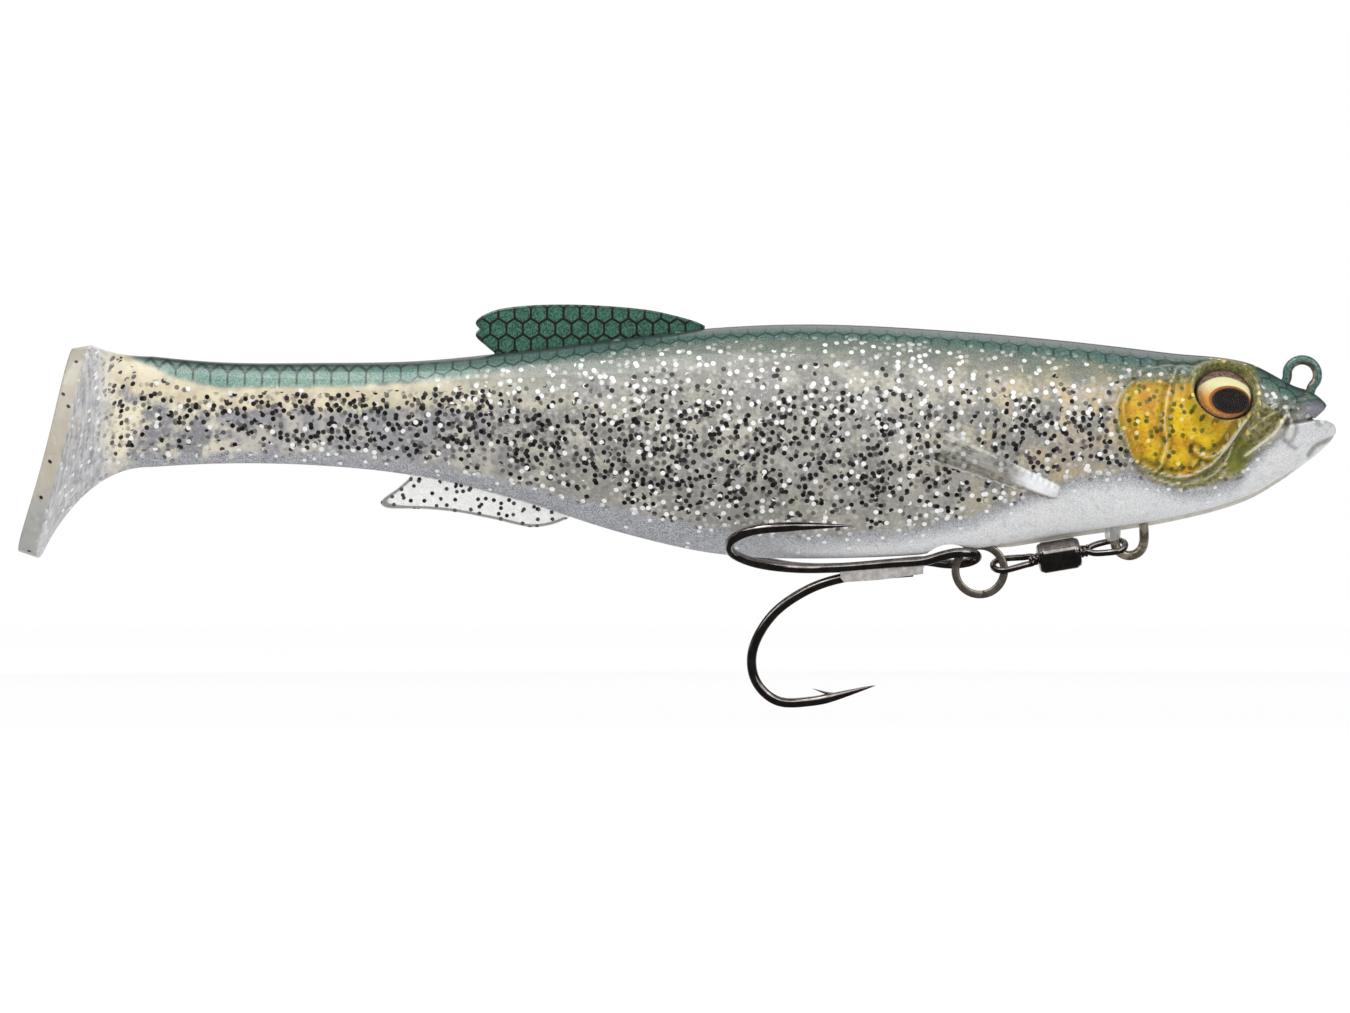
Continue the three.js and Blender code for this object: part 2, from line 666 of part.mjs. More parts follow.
// One wire makes both upper prongs and the eye between them.
function twinWirePath() {
  const half = (side, angle) => [
    onHookEye(side * 90),
    onHookEye(side * 130),
    onHook(5.2, 0, side * (SHANK_SPREAD + 0.05)),
    onHook(10, 0, side * SHANK_SPREAD),
    onHook(TWIN_BEND_AT - 3, 0, side * SHANK_SPREAD),
    ...prong(angle, TWIN_BEND_AT, 0, side * SHANK_SPREAD),
  ];
  const near = half(-1, PRONG_ANGLES.near).reverse();
  const front = [-45, 0, 45].map(onHookEye);
  return smoothCurve([...near, ...front, ...half(1, PRONG_ANGLES.far)]);
}

function twinProngs() {
  const body = solid(wire(twinWirePath(), HOOK_WIRE, 100, 8, taperBothEnds));
  const near = barb(PRONG_ANGLES.near, TWIN_BEND_AT, 0, -SHANK_SPREAD);
  const far = barb(PRONG_ANGLES.far, TWIN_BEND_AT, 0, SHANK_SPREAD);
  return geometryOf(body.add(near).add(far));
}

// The third wire with the braze that fixes it under the twin wires.
function thirdProng() {
  const start = [7, 12, THIRD_BEND_AT - 2].map((run) => onHook(run, -THIRD_DROP, 0));
  const path = smoothCurve([...start, ...prong(PRONG_ANGLES.lower, THIRD_BEND_AT, -THIRD_DROP, 0)]);
  const body = solid(wire(path, HOOK_WIRE, 40, 8, taperFarEnd));
  const braze = new THREE.BoxGeometry(BRAZE.length, BRAZE.width, BRAZE.height);
  braze.rotateY(-HOOK_SLOPE * DEGREE);
  const middle = onHook(BRAZE.run, BRAZE.rise - THIRD_DROP, 0);
  const room = solid(wire(twinWirePath(), HOOK_WIRE + PLAY, 100, 8));
  const block = solid(braze.translate(middle.x, middle.y, middle.z)).subtract(room);
  return geometryOf(body.add(block).add(barb(PRONG_ANGLES.lower, THIRD_BEND_AT, -THIRD_DROP, 0)));
}

// ============================ the assembly ============================

const MATERIALS = {
  body: { color: 0x8f9a86, roughness: 0.35, metalness: 0.05 },
  rear: { color: 0x98a08c, roughness: 0.35, metalness: 0.05 },
  flex: { color: 0xa6ab98, roughness: 0.4, metalness: 0.0 },
  tail: { color: 0xb9b38e, roughness: 0.35, metalness: 0.0 },
  darkFin: { color: 0x3c4a3c, roughness: 0.4, metalness: 0.0 },
  clearFin: { color: 0xc8ccc4, roughness: 0.2, metalness: 0.0 },
  iris: { color: 0xd8a83c, roughness: 0.3, metalness: 0.4 },
  pupil: { color: 0x0a0a0c, roughness: 0.1, metalness: 0.0 },
  lens: { color: 0xf2f2ee, roughness: 0.03, metalness: 0.0 },
  wire: { color: 0x8a9090, roughness: 0.25, metalness: 1.0 },
  lead: { color: 0x50545a, roughness: 0.6, metalness: 0.8 },
  magnet: { color: 0xb0b4b8, roughness: 0.3, metalness: 1.0 },
  blackNickel: { color: 0x26282c, roughness: 0.2, metalness: 1.0 },
  ring: { color: 0x3a3c40, roughness: 0.22, metalness: 1.0 },
};

const group = new THREE.Group();

function add(name, geometry, material) {
  geometry.deleteAttribute("uv");
  geometry.computeVertexNormals();
  const mesh = new THREE.Mesh(geometry, new THREE.MeshStandardMaterial(MATERIALS[material]));
  mesh.name = name;
  group.add(mesh);
}

const trunkRear = TRUNK_FLEX.x - TRUNK_FLEX.half;
const peduncleFront = PEDUNCLE_FLEX.x + PEDUNCLE_FLEX.half;
const peduncleRear = PEDUNCLE_FLEX.x - PEDUNCLE_FLEX.half;
const paddleFront = PADDLE_FLEX.x + PADDLE_FLEX.half;

add("head_and_trunk", headAndTrunk(), "body");
add("trunk_flex_zone", flexZone(TRUNK_FLEX, REAR_SIDES), "flex");
add("rear_trunk", bodySegment(trunkRear, peduncleFront, 14, REAR_SIDES), "rear");
add("peduncle_flex_zone", flexZone(PEDUNCLE_FLEX, TAIL_SIDES), "flex");
add("tail_peduncle", bodySegment(peduncleRear, paddleFront, 8, TAIL_SIDES), "rear");
add("paddle_flex_zone", flexZone(PADDLE_FLEX, TAIL_SIDES), "flex");
add("paddle_tail", paddleTail(), "tail");
add("dorsal_fin", dorsalFin(), "darkFin");
add("anal_fin", analFin(), "clearFin");
for (const [side, name] of [[-1, "right"], [1, "left"]]) {
  add("eye_disc_" + name, atEye(eyeDisc(), side), "iris");
  add("eye_pupil_" + name, atEye(eyePupil(), side), "pupil");
  add("eye_lens_" + name, atEye(eyeLens(), side), "lens");
}
add("harness_wire", wire(harnessPath(), HARNESS_RADIUS, 84, 8), "wire");
add("ballast_weight", ballast(), "lead");
add("belly_magnet", magnet(), "magnet");
add("swivel_front_eye", swivelEye(1), "blackNickel");
add("swivel_barrel", swivelBarrel(), "blackNickel");
add("swivel_rear_eye", swivelEye(-1), "blackNickel");
add("split_ring", splitRing(), "ring");
add("treble_twin_prongs", twinProngs(), "blackNickel");
add("treble_third_prong", thirdProng(), "blackNickel");

export default group;
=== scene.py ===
"""Looks for the soft paddle-tail lure: skin, fins, eyes, wire hardware, lights and camera."""
import math

import bmesh
import bpy
import numpy as np
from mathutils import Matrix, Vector


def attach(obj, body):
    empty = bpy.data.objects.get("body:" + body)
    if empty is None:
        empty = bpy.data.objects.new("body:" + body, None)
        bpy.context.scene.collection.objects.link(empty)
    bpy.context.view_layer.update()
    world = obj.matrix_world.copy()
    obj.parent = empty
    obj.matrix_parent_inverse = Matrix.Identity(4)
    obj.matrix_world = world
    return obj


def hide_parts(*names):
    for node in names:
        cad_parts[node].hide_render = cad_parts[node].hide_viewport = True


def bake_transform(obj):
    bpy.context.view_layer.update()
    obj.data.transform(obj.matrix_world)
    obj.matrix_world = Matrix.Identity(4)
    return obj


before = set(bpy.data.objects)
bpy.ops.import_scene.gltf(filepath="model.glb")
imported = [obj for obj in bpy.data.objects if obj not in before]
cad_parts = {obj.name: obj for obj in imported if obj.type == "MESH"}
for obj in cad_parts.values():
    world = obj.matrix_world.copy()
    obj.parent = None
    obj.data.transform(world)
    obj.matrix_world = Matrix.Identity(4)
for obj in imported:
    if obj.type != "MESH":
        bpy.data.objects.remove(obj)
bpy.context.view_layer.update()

MM = 0.001
TURN = 2 * math.pi

# ---- shape of the fish in millimetres: place along the length, back height, belly height, half width ----
STATIONS = np.array([
    [5.0, -7.7, -8.9, 0.9],
    [4.3, -5.7, -10.0, 3.0],
    [3.1, -3.9, -11.2, 4.4],
    [1.1, -2.4, -12.9, 5.8],
    [-1.5, -1.5, -14.5, 6.9],
    [-8.9, 2.1, -18.8, 8.7],
    [-20.5, 3.5, -22.0, 10.1],
    [-35.8, 5.3, -24.4, 11.2],
    [-54.0, 6.9, -27.1, 11.6],
    [-74.0, 7.9, -28.1, 11.2],
    [-90.0, 7.4, -27.4, 10.0],
    [-105.0, 5.7, -24.1, 8.2],
    [-120.5, 3.8, -19.2, 6.2],
    [-135.8, 2.3, -15.5, 4.6],
    [-151.2, 2.0, -13.8, 3.6],
    [-166.6, 2.1, -13.5, 3.1],
    [-183.0, 3.6, -14.4, 2.8],
])
BACK, BELLY, WIDTH = 1, 2, 3
BACK_ROUNDNESS = 2.1
BELLY_ROUNDNESS = 1.65
WIDEST_AT = 0.6
GIRTH = 208  # points round one ring of the skin

# Where the skin changes from one piece to the next.
PIECE_ENDS = [-115.0, -162.0]
# Each piece: its name, its slot, what it stands for, and the bodies, start and end of its bend.
SKIN_PIECES = [
    ("skin_head_and_trunk", "body", ["head_and_trunk", "trunk_flex_zone"],
     ("trunk", "rear_body", -82.0, -98.0)),
    ("skin_rear_trunk", "rear_body", ["rear_trunk", "peduncle_flex_zone"],
     ("rear_body", "peduncle", -135.0, -151.0)),
    ("skin_peduncle_and_paddle", "paddle", ["tail_peduncle", "paddle_flex_zone", "paddle_tail"],
     ("peduncle", "paddle", -176.0, -184.0)),
]
RIM_ROWS = 12  # rings of the skin on the paddle's edge and rear face

FLARE_START = -177.0
PADDLE = {"top": (-186.4, 4.7), "foot": (-194.6, -28.0), "half_width": 8.6}  # its front rim, x and z
EYE = {"x": -12.9, "z": -2.6, "radius": 4.35, "yaw": 6.0, "tilt": 27.0}

POCKET_DEPTH = 2.0  # of the eye's socket
SLOT = {"x": -54.3, "z": -31.0, "radius": 5.1, "half": 2.9}  # a round-roofed slot in the keel

# The camera's place; the head's lines are given as they look from there, so near surfaces are drawn to suit.
CAMERA = {"x": -96.6, "z": -20.1, "away": 779.0}

# ---- eyes and hardware in millimetres; angles in degrees ----
PUPIL = {"right": 0.75, "up": -1.15, "radius": 3.05, "squash": 0.76}
HARNESS_RADIUS = 0.74
LINE_TIE = {"x": -0.1, "z": 0.12, "radius": 2.35}
HANGER = {"x": -26.7, "z": -25.4, "radius": 2.25}
BALLAST = {"x": -43.5, "z": -18.3, "half": 9.5}
SWIVEL = {"x": -37.5, "z": -27.6, "tilt": 9.5, "roll": 30.0, "half": 3.3, "radius": 2.42,
          "loop": 1.75, "loop_at": 8.55, "wire": 0.5}
RING = {"x": -49.7, "z": -29.9, "radius": 3.75, "radial": 0.6, "axial": 0.31, "pitch": 0.78}
HOOK_WIRE = 0.75
HOOK_SLOPE = 4.5
HOOK_EYE = {"x": -53.13, "z": -28.07, "half_width": 2.15, "half_length": 3.05, "roll": 24.0}
# Each prong: which way it points, where it bends, and where its shank lies above and beside the middle.
NEAR = {"angle": 68.0, "bend_at": 21.4, "up": 0, "side": -0.87}
FAR = {"angle": -58.0, "bend_at": 21.4, "up": 0, "side": 0.87}
LOWER = {"angle": 182.0, "bend_at": 19.2, "up": -1.55, "side": 0}
BEND = [(4.1, 1.45), (10, 5.05), (13.4, 10.4), (13.2, 14.9), (10.3, 18.1), (4.8, 18.65), (-5.1, 17.0)]

TENT = 2000  # radius of the reflections' dome
LIT_POINT = Vector((-0.1, 0, -0.015))  # metres


# ================================ numbers ================================

def smoothstep(low, high, x):
    t = np.clip((np.asarray(x, float) - low) / (high - low), 0, 1)
    return t * t * (3 - 2 * t)


def between(column, x):
    """Smooth value of a column of STATIONS at x, sloped like its neighbours."""
    x = np.atleast_1d(np.asarray(x, float))
    rows = STATIONS
    last = len(rows) - 1
    i = np.clip(np.searchsorted(-rows[:, 0], -x, side="right") - 1, 0, last - 1)

    def slope(j):
        a = rows[np.maximum(0, j - 1)]
        b = rows[np.minimum(last, j + 1)]
        return (b[:, column] - a[:, column]) / (b[:, 0] - a[:, 0])

    p = rows[i]
    q = rows[i + 1]
    span = q[:, 0] - p[:, 0]
    t = np.clip((x - p[:, 0]) / span, 0, 1)
    held = t * t * (3 - 2 * t)
    out = t * (1 - t) ** 2 * span
    back = t * t * (1 - t) * span
    return p[:, column] * (1 - held) + q[:, column] * held + slope(i) * out - slope(i + 1) * back


def along_line(points, x, z):
    """Distance of each (x, z) from a polyline, and on which side of it they lie."""
    points = np.array(points, float)
    best = np.full(np.shape(x), 1e9)
    side = np.zeros(np.shape(x))
    for a, b in zip(points[:-1], points[1:]):
        d = b - a
        t = np.clip(((x - a[0]) * d[0] + (z - a[1]) * d[1]) / (d @ d), 0, 1)
        dx = x - a[0] - t * d[0]
        dz = z - a[1] - t * d[1]
        away = np.hypot(dx, dz)
        nearer = away < best
        best = np.where(nearer, away, best)
        side = np.where(nearer, np.sign(d[0] * dz - d[1] * dx), side)
    return best, side


def catmull(points, per_span=12):
    """Centripetal Catmull-Rom curve through the points, as a dense polyline."""
    p = np.array(points, float)
    ends = np.vstack([2 * p[0] - p[1], p, 2 * p[-1] - p[-2]])
    out = []
    for i in range(1, len(ends) - 2):
        p0, p1, p2, p3 = ends[i - 1:i + 3]
        t1 = np.linalg.norm(p1 - p0) ** 0.5
        t2 = t1 + np.linalg.norm(p2 - p1) ** 0.5
        t3 = t2 + np.linalg.norm(p3 - p2) ** 0.5
        for t in np.linspace(t1, t2, per_span, endpoint=False):
            a1 = (t1 - t) / t1 * p0 + t / t1 * p1
            a2 = (t2 - t) / (t2 - t1) * p1 + (t - t1) / (t2 - t1) * p2
            a3 = (t3 - t) / (t3 - t2) * p2 + (t - t2) / (t3 - t2) * p3
            b1 = (t2 - t) / t2 * a1 + t / t2 * a2
            b2 = (t3 - t) / (t3 - t1) * a2 + (t - t1) / (t3 - t1) * a3
            out.append((t2 - t) / (t2 - t1) * b1 + (t - t1) / (t2 - t1) * b2)
    out.append(p[-1])
    return np.array(out)


def resample(line, count):
    """The polyline again, with equal steps."""
    steps = np.linalg.norm(np.diff(line, axis=0), axis=1)
    run = np.concatenate([[0], np.cumsum(steps)])
    want = np.linspace(0, run[-1], count)
    return np.column_stack([np.interp(want, run, line[:, k]) for k in range(line.shape[1])])


# ================================ meshes ================================

def make_mesh(name, points, faces, attributes=(), normals=None, smooth=True):
    """A mesh object from points in millimetres."""
    mesh = bpy.data.meshes.new(name)
    mesh.from_pydata((np.asarray(points) * MM).tolist(), [], [list(map(int, f)) for f in faces])
    mesh.update()
    for title, values in attributes:
        vector = np.ndim(values) == 2
        data = mesh.attributes.new(title, "FLOAT_VECTOR" if vector else "FLOAT", "POINT").data
        data.foreach_set("vector" if vector else "value", np.asarray(values, np.float32).ravel())
    mesh.polygons.foreach_set("use_smooth", [smooth] * len(mesh.polygons))
    if normals is not None:
        mesh.normals_split_custom_set_from_vertices(normals.tolist())
    obj = bpy.data.objects.new(name, mesh)
    bpy.context.collection.objects.link(obj)
    return obj


def tube_faces(rings, sides, first_cap=True, last_cap=True):
    """Faces between rings of points, with a cap at each end that asks for one."""
    faces = []
    for a in range(0, (rings - 1) * sides, sides):
        for k in range(sides):
            nxt = (k + 1) % sides
            faces.append((a + k, a + sides + k, a + sides + nxt, a + nxt))
    if first_cap:
        faces.append(list(range(sides)))
    if last_cap:
        faces.append(list(range(rings * sides - 1, (rings - 1) * sides - 1, -1)))
    return faces


def circle(sides):
    """Cosine and sine of equal steps round a circle."""
    turn = np.arange(sides) * TURN / sides
    return np.cos(turn), np.sin(turn)


def sweep(path, radius, sides=18, scale=1.0):
    """Points and faces of a closed tube along a polyline; scale thins it."""
    tangents = np.gradient(path, axis=0)
    tangents /= np.linalg.norm(tangents, axis=1)[:, None]
    normal = np.cross(tangents[0], [0.0, 1.0, 0.0])
    if np.linalg.norm(normal) < 1e-3:
        normal = np.cross(tangents[0], [1.0, 0.0, 0.0])
    cos, sin = circle(sides)
    points = []
    for centre, tangent, size in zip(path, tangents, radius * np.broadcast_to(scale, len(path))):
        normal = normal - tangent * (normal @ tangent)
        normal /= np.linalg.norm(normal)
        points.append(centre + size * (cos[:, None] * normal + sin[:, None] * np.cross(tangent, normal)))
    return np.vstack(points), tube_faces(len(path), sides)


def lathe(profile, sides=48):
    """Points and faces of a profile (radius, height) turned about Z, capped unless it is a loop."""
    cos, sin = circle(sides)
    points = [np.column_stack([r * cos, r * sin, np.full(sides, height)]) for r, height in profile]
    caps = profile[0] != profile[-1]
    return np.vstack(points), tube_faces(len(profile), sides, caps, caps)


def join_parts(parts):
    points, faces, count = [], [], 0
    for some, theirs in parts:
        points.append(some)
        faces += [[v + count for v in f] for f in theirs]
        count += len(some)
    return np.vstack(points), faces


def weld(obj, merge=0.004):
    """Welds doubled points and turns all faces outwards."""
    b = bmesh.new()
    b.from_mesh(obj.data)
    bmesh.ops.remove_doubles(b, verts=b.verts, dist=merge * MM)
    bmesh.ops.recalc_face_normals(b, faces=b.faces)
    b.to_mesh(obj.data)
    b.free()
    return obj


# ================================ node helpers ================================

HEADROOM = 0.8  # surfaces are this much darker than they look, as the studio light is bright


def srgb(color):
    """A socket's colour from red, green and blue up to 255."""
    share = np.array(color) / 255
    linear = np.where(share <= 0.04045, share / 12.92, ((share + 0.055) / 1.055) ** 2.4)
    return (*(HEADROOM * linear), 1.0)


class Value:
    """What a node gives out; sums, differences and products of values are Math nodes."""

    def __init__(self, recipe, socket):
        self.recipe = recipe
        self.socket = socket

    def other(self, output):
        """Another output of the same node."""
        return Value(self.recipe, self.socket.node.outputs[output])

    def __add__(self, other):
        return self.recipe.math("ADD", self, other)

    def __mul__(self, other):
        return self.recipe.math("MULTIPLY", self, other)

    def __sub__(self, other):
        return self.recipe.math("SUBTRACT", self, other)

    def __rsub__(self, other):
        return self.recipe.math("SUBTRACT", other, self)

    __radd__ = __add__
    __rmul__ = __mul__


class Recipe:
    """Builds one material's nodes with short calls; a plain colour is red, green and blue up to 255."""

    def __init__(self, name, color=None):
        self.material = bpy.data.materials.new(name)
        self.material.use_nodes = True
        self.tree = self.material.node_tree
        self.shader = self.tree.nodes["Principled BSDF"]
        self.color = color

    def plug(self, socket, value):
        if isinstance(value, Value):
            self.tree.links.new(value.socket, socket)
        elif socket.type == "RGBA" and len(value) == 3:
            socket.default_value = srgb(value)
        else:
            socket.default_value = value

    def node(self, kind, output, inputs=(), **settings):
        made = self.tree.nodes.new(kind)
        for key, value in settings.items():
            setattr(made, key, value)
        for key, value in dict(inputs).items():
            self.plug(made.inputs[key], value)
        return Value(self, made.outputs[output])

    def math(self, operation, *values):
        return self.node("ShaderNodeMath", 0, enumerate(values), operation=operation)

    def highest(self, a, b):
        return self.math("MAXIMUM", a, b)

    def length(self, a, b):
        return self.math("SQRT", a * a + b * b)

    def band(self, x, low, high):
        """0 up to low, 1 from high on, smooth between; low above high turns it round."""
        start, end = (0.0, 1.0) if low < high else (1.0, 0.0)
        ends = {"From Min": min(low, high), "From Max": max(low, high), "To Min": start, "To Max": end}
        inputs = {"Value": x, **ends}
        return self.node("ShaderNodeMapRange", "Result", inputs, interpolation_type="SMOOTHSTEP")

    def mix(self, share, a, b):
        return self.node("ShaderNodeMix", 2, {0: share, 6: a, 7: b}, data_type="RGBA")

    def blend(self, x, low, high, a, b):
        """Colour a up to low, colour b from high on."""
        return self.mix(self.band(x, low, high), a, b)

    def paint(self, share, color):
        """Lays a colour over what is there, as thickly as share says."""
        self.color = self.mix(share, self.color, color)

    def attribute(self, name, output="Vector"):
        return self.node("ShaderNodeAttribute", output, attribute_name=name)

    def position(self):
        """The place in the object, in metres."""
        return self.node("ShaderNodeTexCoord", "Object")

    def facing(self, blend):
        return self.node("ShaderNodeLayerWeight", "Facing", {"Blend": blend})

    def noise(self, vector, size, detail=2.0, roughness=0.5):
        inputs = {"Vector": vector, "Scale": 1 / size, "Detail": detail, "Roughness": roughness}
        return self.node("ShaderNodeTexNoise", "Fac", inputs)

    def vector(self, x, y, z=0.0):
        return self.node("ShaderNodeCombineXYZ", 0, {"X": x, "Y": y, "Z": z})

    def parts(self, vector):
        x = self.node("ShaderNodeSeparateXYZ", 0, {"Vector": vector})
        return x, x.other(1), x.other(2)

    def dots(self, vector, cell, radius, soft, density, shift):
        """Scattered round flakes: their mask and a random tone for each. Sizes are in the vector's units."""
        moved = self.node("ShaderNodeVectorMath", 0, {0: vector, 1: (*shift, 0.0)}, operation="ADD")
        away = self.node("ShaderNodeTexVoronoi", "Distance", {"Vector": moved, "Scale": 1 / cell},
                         voronoi_dimensions="2D", feature="F1")
        spot = self.band(away * cell, radius + soft, radius - soft)
        pick, tone, _ = self.parts(away.other("Color"))
        return spot * self.math("LESS_THAN", pick, density), tone

    def flakes(self, vector, sizes, density, shift, dark, light=None, strength=1.0):
        """Paints flakes, sized by cell, radius and soft edge, from dark to light; returns their mask."""
        mask, tone = self.dots(vector, *sizes, density, shift)
        self.paint(mask * strength, self.mix(tone, dark, light) if light else dark)
        return mask

    def hexagons(self, x, y, pitch):
        """Distance to the nearest border in a net of hexagons whose flats are pitch apart, in pitches."""
        ratio = math.sqrt(3)

        def offset(shift_u, shift_v):
            a = self.math("FLOORED_MODULO", x * (1 / pitch) + shift_u, 1.0) - 0.5
            b = self.math("FLOORED_MODULO", y * (1 / pitch) + shift_v, ratio) - ratio / 2
            return a, b, a * a + b * b

        a0, b0, r0 = offset(0.0, 0.0)
        a1, b1, r1 = offset(0.5, ratio / 2)
        first = self.math("LESS_THAN", r0, r1)
        a = self.math("ABSOLUTE", first * a0 + (1.0 - first) * a1)
        b = self.math("ABSOLUTE", first * b0 + (1.0 - first) * b1)
        return 0.5 - self.highest(a, a * 0.5 + b * (ratio / 2))

    def bump(self, height, distance, strength):
        inputs = {"Height": height, "Distance": distance, "Strength": strength}
        return self.node("ShaderNodeBump", "Normal", inputs)

    def finish(self, **sockets):
        """Sets the shader's sockets, written with underscores, and returns the material."""
        for key, value in {"Base_Color": self.color, **sockets}.items():
            self.plug(self.shader.inputs[key.replace("_", " ")], value)
        return self.material


# ================================ the skin ================================

# Lines of the head's relief, seen from the side: x, z.
OPERCULUM = [
    (-26.3, -1), (-27.6, -2.2), (-28.7, -4.6), (-28.3, -7.3), (-27.1, -9.9), (-26.4, -11.9), (-25.1, -13.9),
    (-22.6, -15.8), (-19.7, -16.6), (-16.9, -16.4), (-14, -15.3), (-11.8, -13), (-10.9, -11),
]
MOUTH_LINE = [(-2.4, -7.3), (-0.6, -7), (1.4, -6.6)]
# Each fold: height of its ridge (below 0 for a crease), half width, share of pale highlight, its line.
FOLDS = [
    # inside the gill's edge
    (0.25, 0.3, 0.5, [(-26.8, -3), (-27.7, -5.2), (-27.2, -7.4), (-26.2, -9.6), (-25.4, -11.8)]),
    # the long arc under the gold cheek
    (0.5, 0.36, 1, [(-24.6, -13.6), (-22, -14.7), (-19.1, -15.3), (-16.9, -14.8), (-14, -13.3),
                    (-12.3, -11.6), (-10.3, -9), (-8.9, -7.3)]),
    # the cheek's lower fold, and a branch from it to the arc
    (0.55, 0.4, 1, [(-16.6, -11.3), (-15.7, -12), (-14.3, -12.4), (-12.3, -11), (-10.6, -9), (-9.1, -7.4)]),
    (0.25, 0.3, 0.7, [(-16.3, -12.8), (-17.2, -14), (-19.1, -14.9)]),
    # the plate's front edge
    (0.42, 0.34, 0.8, [(-19.6, 0.6), (-20.6, -2.1), (-21.1, -5), (-21.3, -7.9), (-20.9, -10.1),
                       (-21.7, -13), (-22.1, -14.1)]),
    # the loop above the gill and its foot, and the loop at the brow
    (0.25, 0.28, 0.5, [(-26.3, -1.3), (-25.7, 0.1), (-24, 1), (-22, 1), (-20.8, 0.1), (-20.6, -1.3)]),
    (0.2, 0.26, 0.2, [(-26.2, -1.4), (-23, -1), (-20.6, -1.3)]),
    (0.25, 0.28, 0.5, [(-19.6, 0.5), (-18.9, 0.9), (-17.5, 0.8), (-16.9, 0), (-16.9, -1.3)]),
    # snout, upper lip, jaw and the corner of the mouth
    (0.3, 0.36, 0.3, [(-6, -6.6), (-3.6, -5.3), (-1.6, -4.1), (0.6, -3.5), (2.6, -3.3)]),
    (0.32, 0.36, 0.5, [(-8.4, -8.6), (-6.3, -6.9), (-4, -5.5), (-2.6, -5), (-0.6, -4.8)]),
    (0.4, 0.5, 1, [(-8.9, -12.2), (-6.4, -10.4), (-4.2, -8.6), (-2.6, -6)]),
    (0.35, 0.4, 1, [(-2.6, -5), (-1.9, -6.6), (-1.8, -8.2), (-2.3, -9.4)]),
    # creases in the lower jaw
    (-0.5, 0.45, 0, [(0.9, -12.2), (1.9, -10.9), (3.1, -10.2), (4.6, -9.6)]),
    (-0.35, 0.4, 0, [(-2.5, -7.2), (-2.9, -8.6), (-2.4, -10.2), (-1.2, -11.2)]),
]
# The notch between snout and jaw: how far forward the head reaches at each height.
NOTCH_Z = [-12, -9.4, -8.3, -7.6, -6.95, -6.75, -6.6, -5.4, -4.6, -4, -3.4]
NOTCH_X = [6, 5.2, 5, 4.6, 3.2, -0.9, 1.2, 2.7, 3.4, 3.6, 6]

# Edges of the painted zones, seen from the side.
GOLD = [(-26.3, -1.2), (-20.6, -1), (-17, -1.2), (-16.7, -3.5), (-15.2, -6.4), (-12.6, -7.9), (-9.2, -7.2),
        (-10.5, -9.2), (-12.3, -11.2), (-14, -13.3), (-17, -14.9), (-19.1, -15.4), (-22, -14.8),
        (-24.6, -13.8), (-26.4, -11.9), (-27.1, -9.9), (-28.3, -7.3), (-28.7, -5), (-28.1, -3)]
OLIVE = [(-28.9, -5.2), (-28, -2.6), (-26.5, -0.8), (-20.6, -0.2), (-17, 0.4), (-16.2, 1.8), (-12.5, 3.2),
         (-7.4, 1.4), (-6.4, -3.6), (-3.4, -5.6), (-2.6, -6.8), (-3.4, -8), (-7.4, -11.9), (-9.7, -15.3),
         (-14, -16.7), (-18.3, -17.3), (-22.6, -16.2), (-25.4, -14.4), (-27.2, -11.2), (-28.6, -8)]
DARK_OLIVE = [(-9.4, -9.2), (-7.6, -11.2), (-9.6, -14.6), (-11.4, -14.9), (-11.6, -12.6)]
PEARL_EDGE = [
    (6, -6.6), (-1.7, -6.7), (-3.1, -7.9), (-7.4, -11.9), (-9.7, -15.3), (-14, -16.7), (-18.3, -17.2),
    (-22.6, -15.9), (-27, -14.7), (-34, -15.2), (-38, -16.4), (-45, -19), (-51, -21.4), (-62, -23.6),
    (-75, -24.4), (-90, -23.4), (-105, -20.2), (-120, -16.4), (-135, -13.2), (-150, -11.6), (-165, -11.6),
    (-178, -12.4), (-190, -14),
]
# How far the green reaches down from the back's edge, and how softly it ends.
GREEN_DEPTH = [(6, 4.2), (-1, 3), (-6, 2.6), (-16, 2.8), (-28, 3), (-60, 2.5), (-100, 2.2), (-125, 2.6),
               (-145, 3.4), (-168, 3.6), (-175, 2.4), (-179, 0.6), (-182, -1.5)]

FIN_ROOT = (-37.6, -17.9)
FIN_TIP = (-55.8, -11)


def on_edge(edge, x):
    """Value of a zone edge at x; the table runs from the nose to the tail."""
    table = np.array(edge)[::-1]
    return np.interp(x, table[:, 0], table[:, 1])


def inside(outline, x, z):
    """Distance inside a closed outline, negative outside it."""
    line = np.array(list(outline) + [outline[0]], float)
    away, _ = along_line(line, x, z)
    crossings = np.zeros(np.shape(x), int)
    for (ax, az), (bx, bz) in zip(line[:-1], line[1:]):
        if az == bz:
            continue
        spans = (z > min(az, bz)) & (z <= max(az, bz))
        crossings += spans & (x < ax + (z - az) / (bz - az) * (bx - ax))
    return np.where(crossings % 2 == 1, away, -away)


def fin_place(x, z):
    """Share of the way along the moulded side fin, distance across it, and its half width there."""
    root = np.array(FIN_ROOT)
    reach = np.array(FIN_TIP) - root
    length = np.linalg.norm(reach)
    unit = reach / length
    along = ((x - root[0]) * unit[0] + (z - root[1]) * unit[1]) / length
    across = (x - root[0]) * unit[1] - (z - root[1]) * unit[0]
    return along, across, 1.15 + 1.3 * np.clip(along, 0, 1) ** 0.8


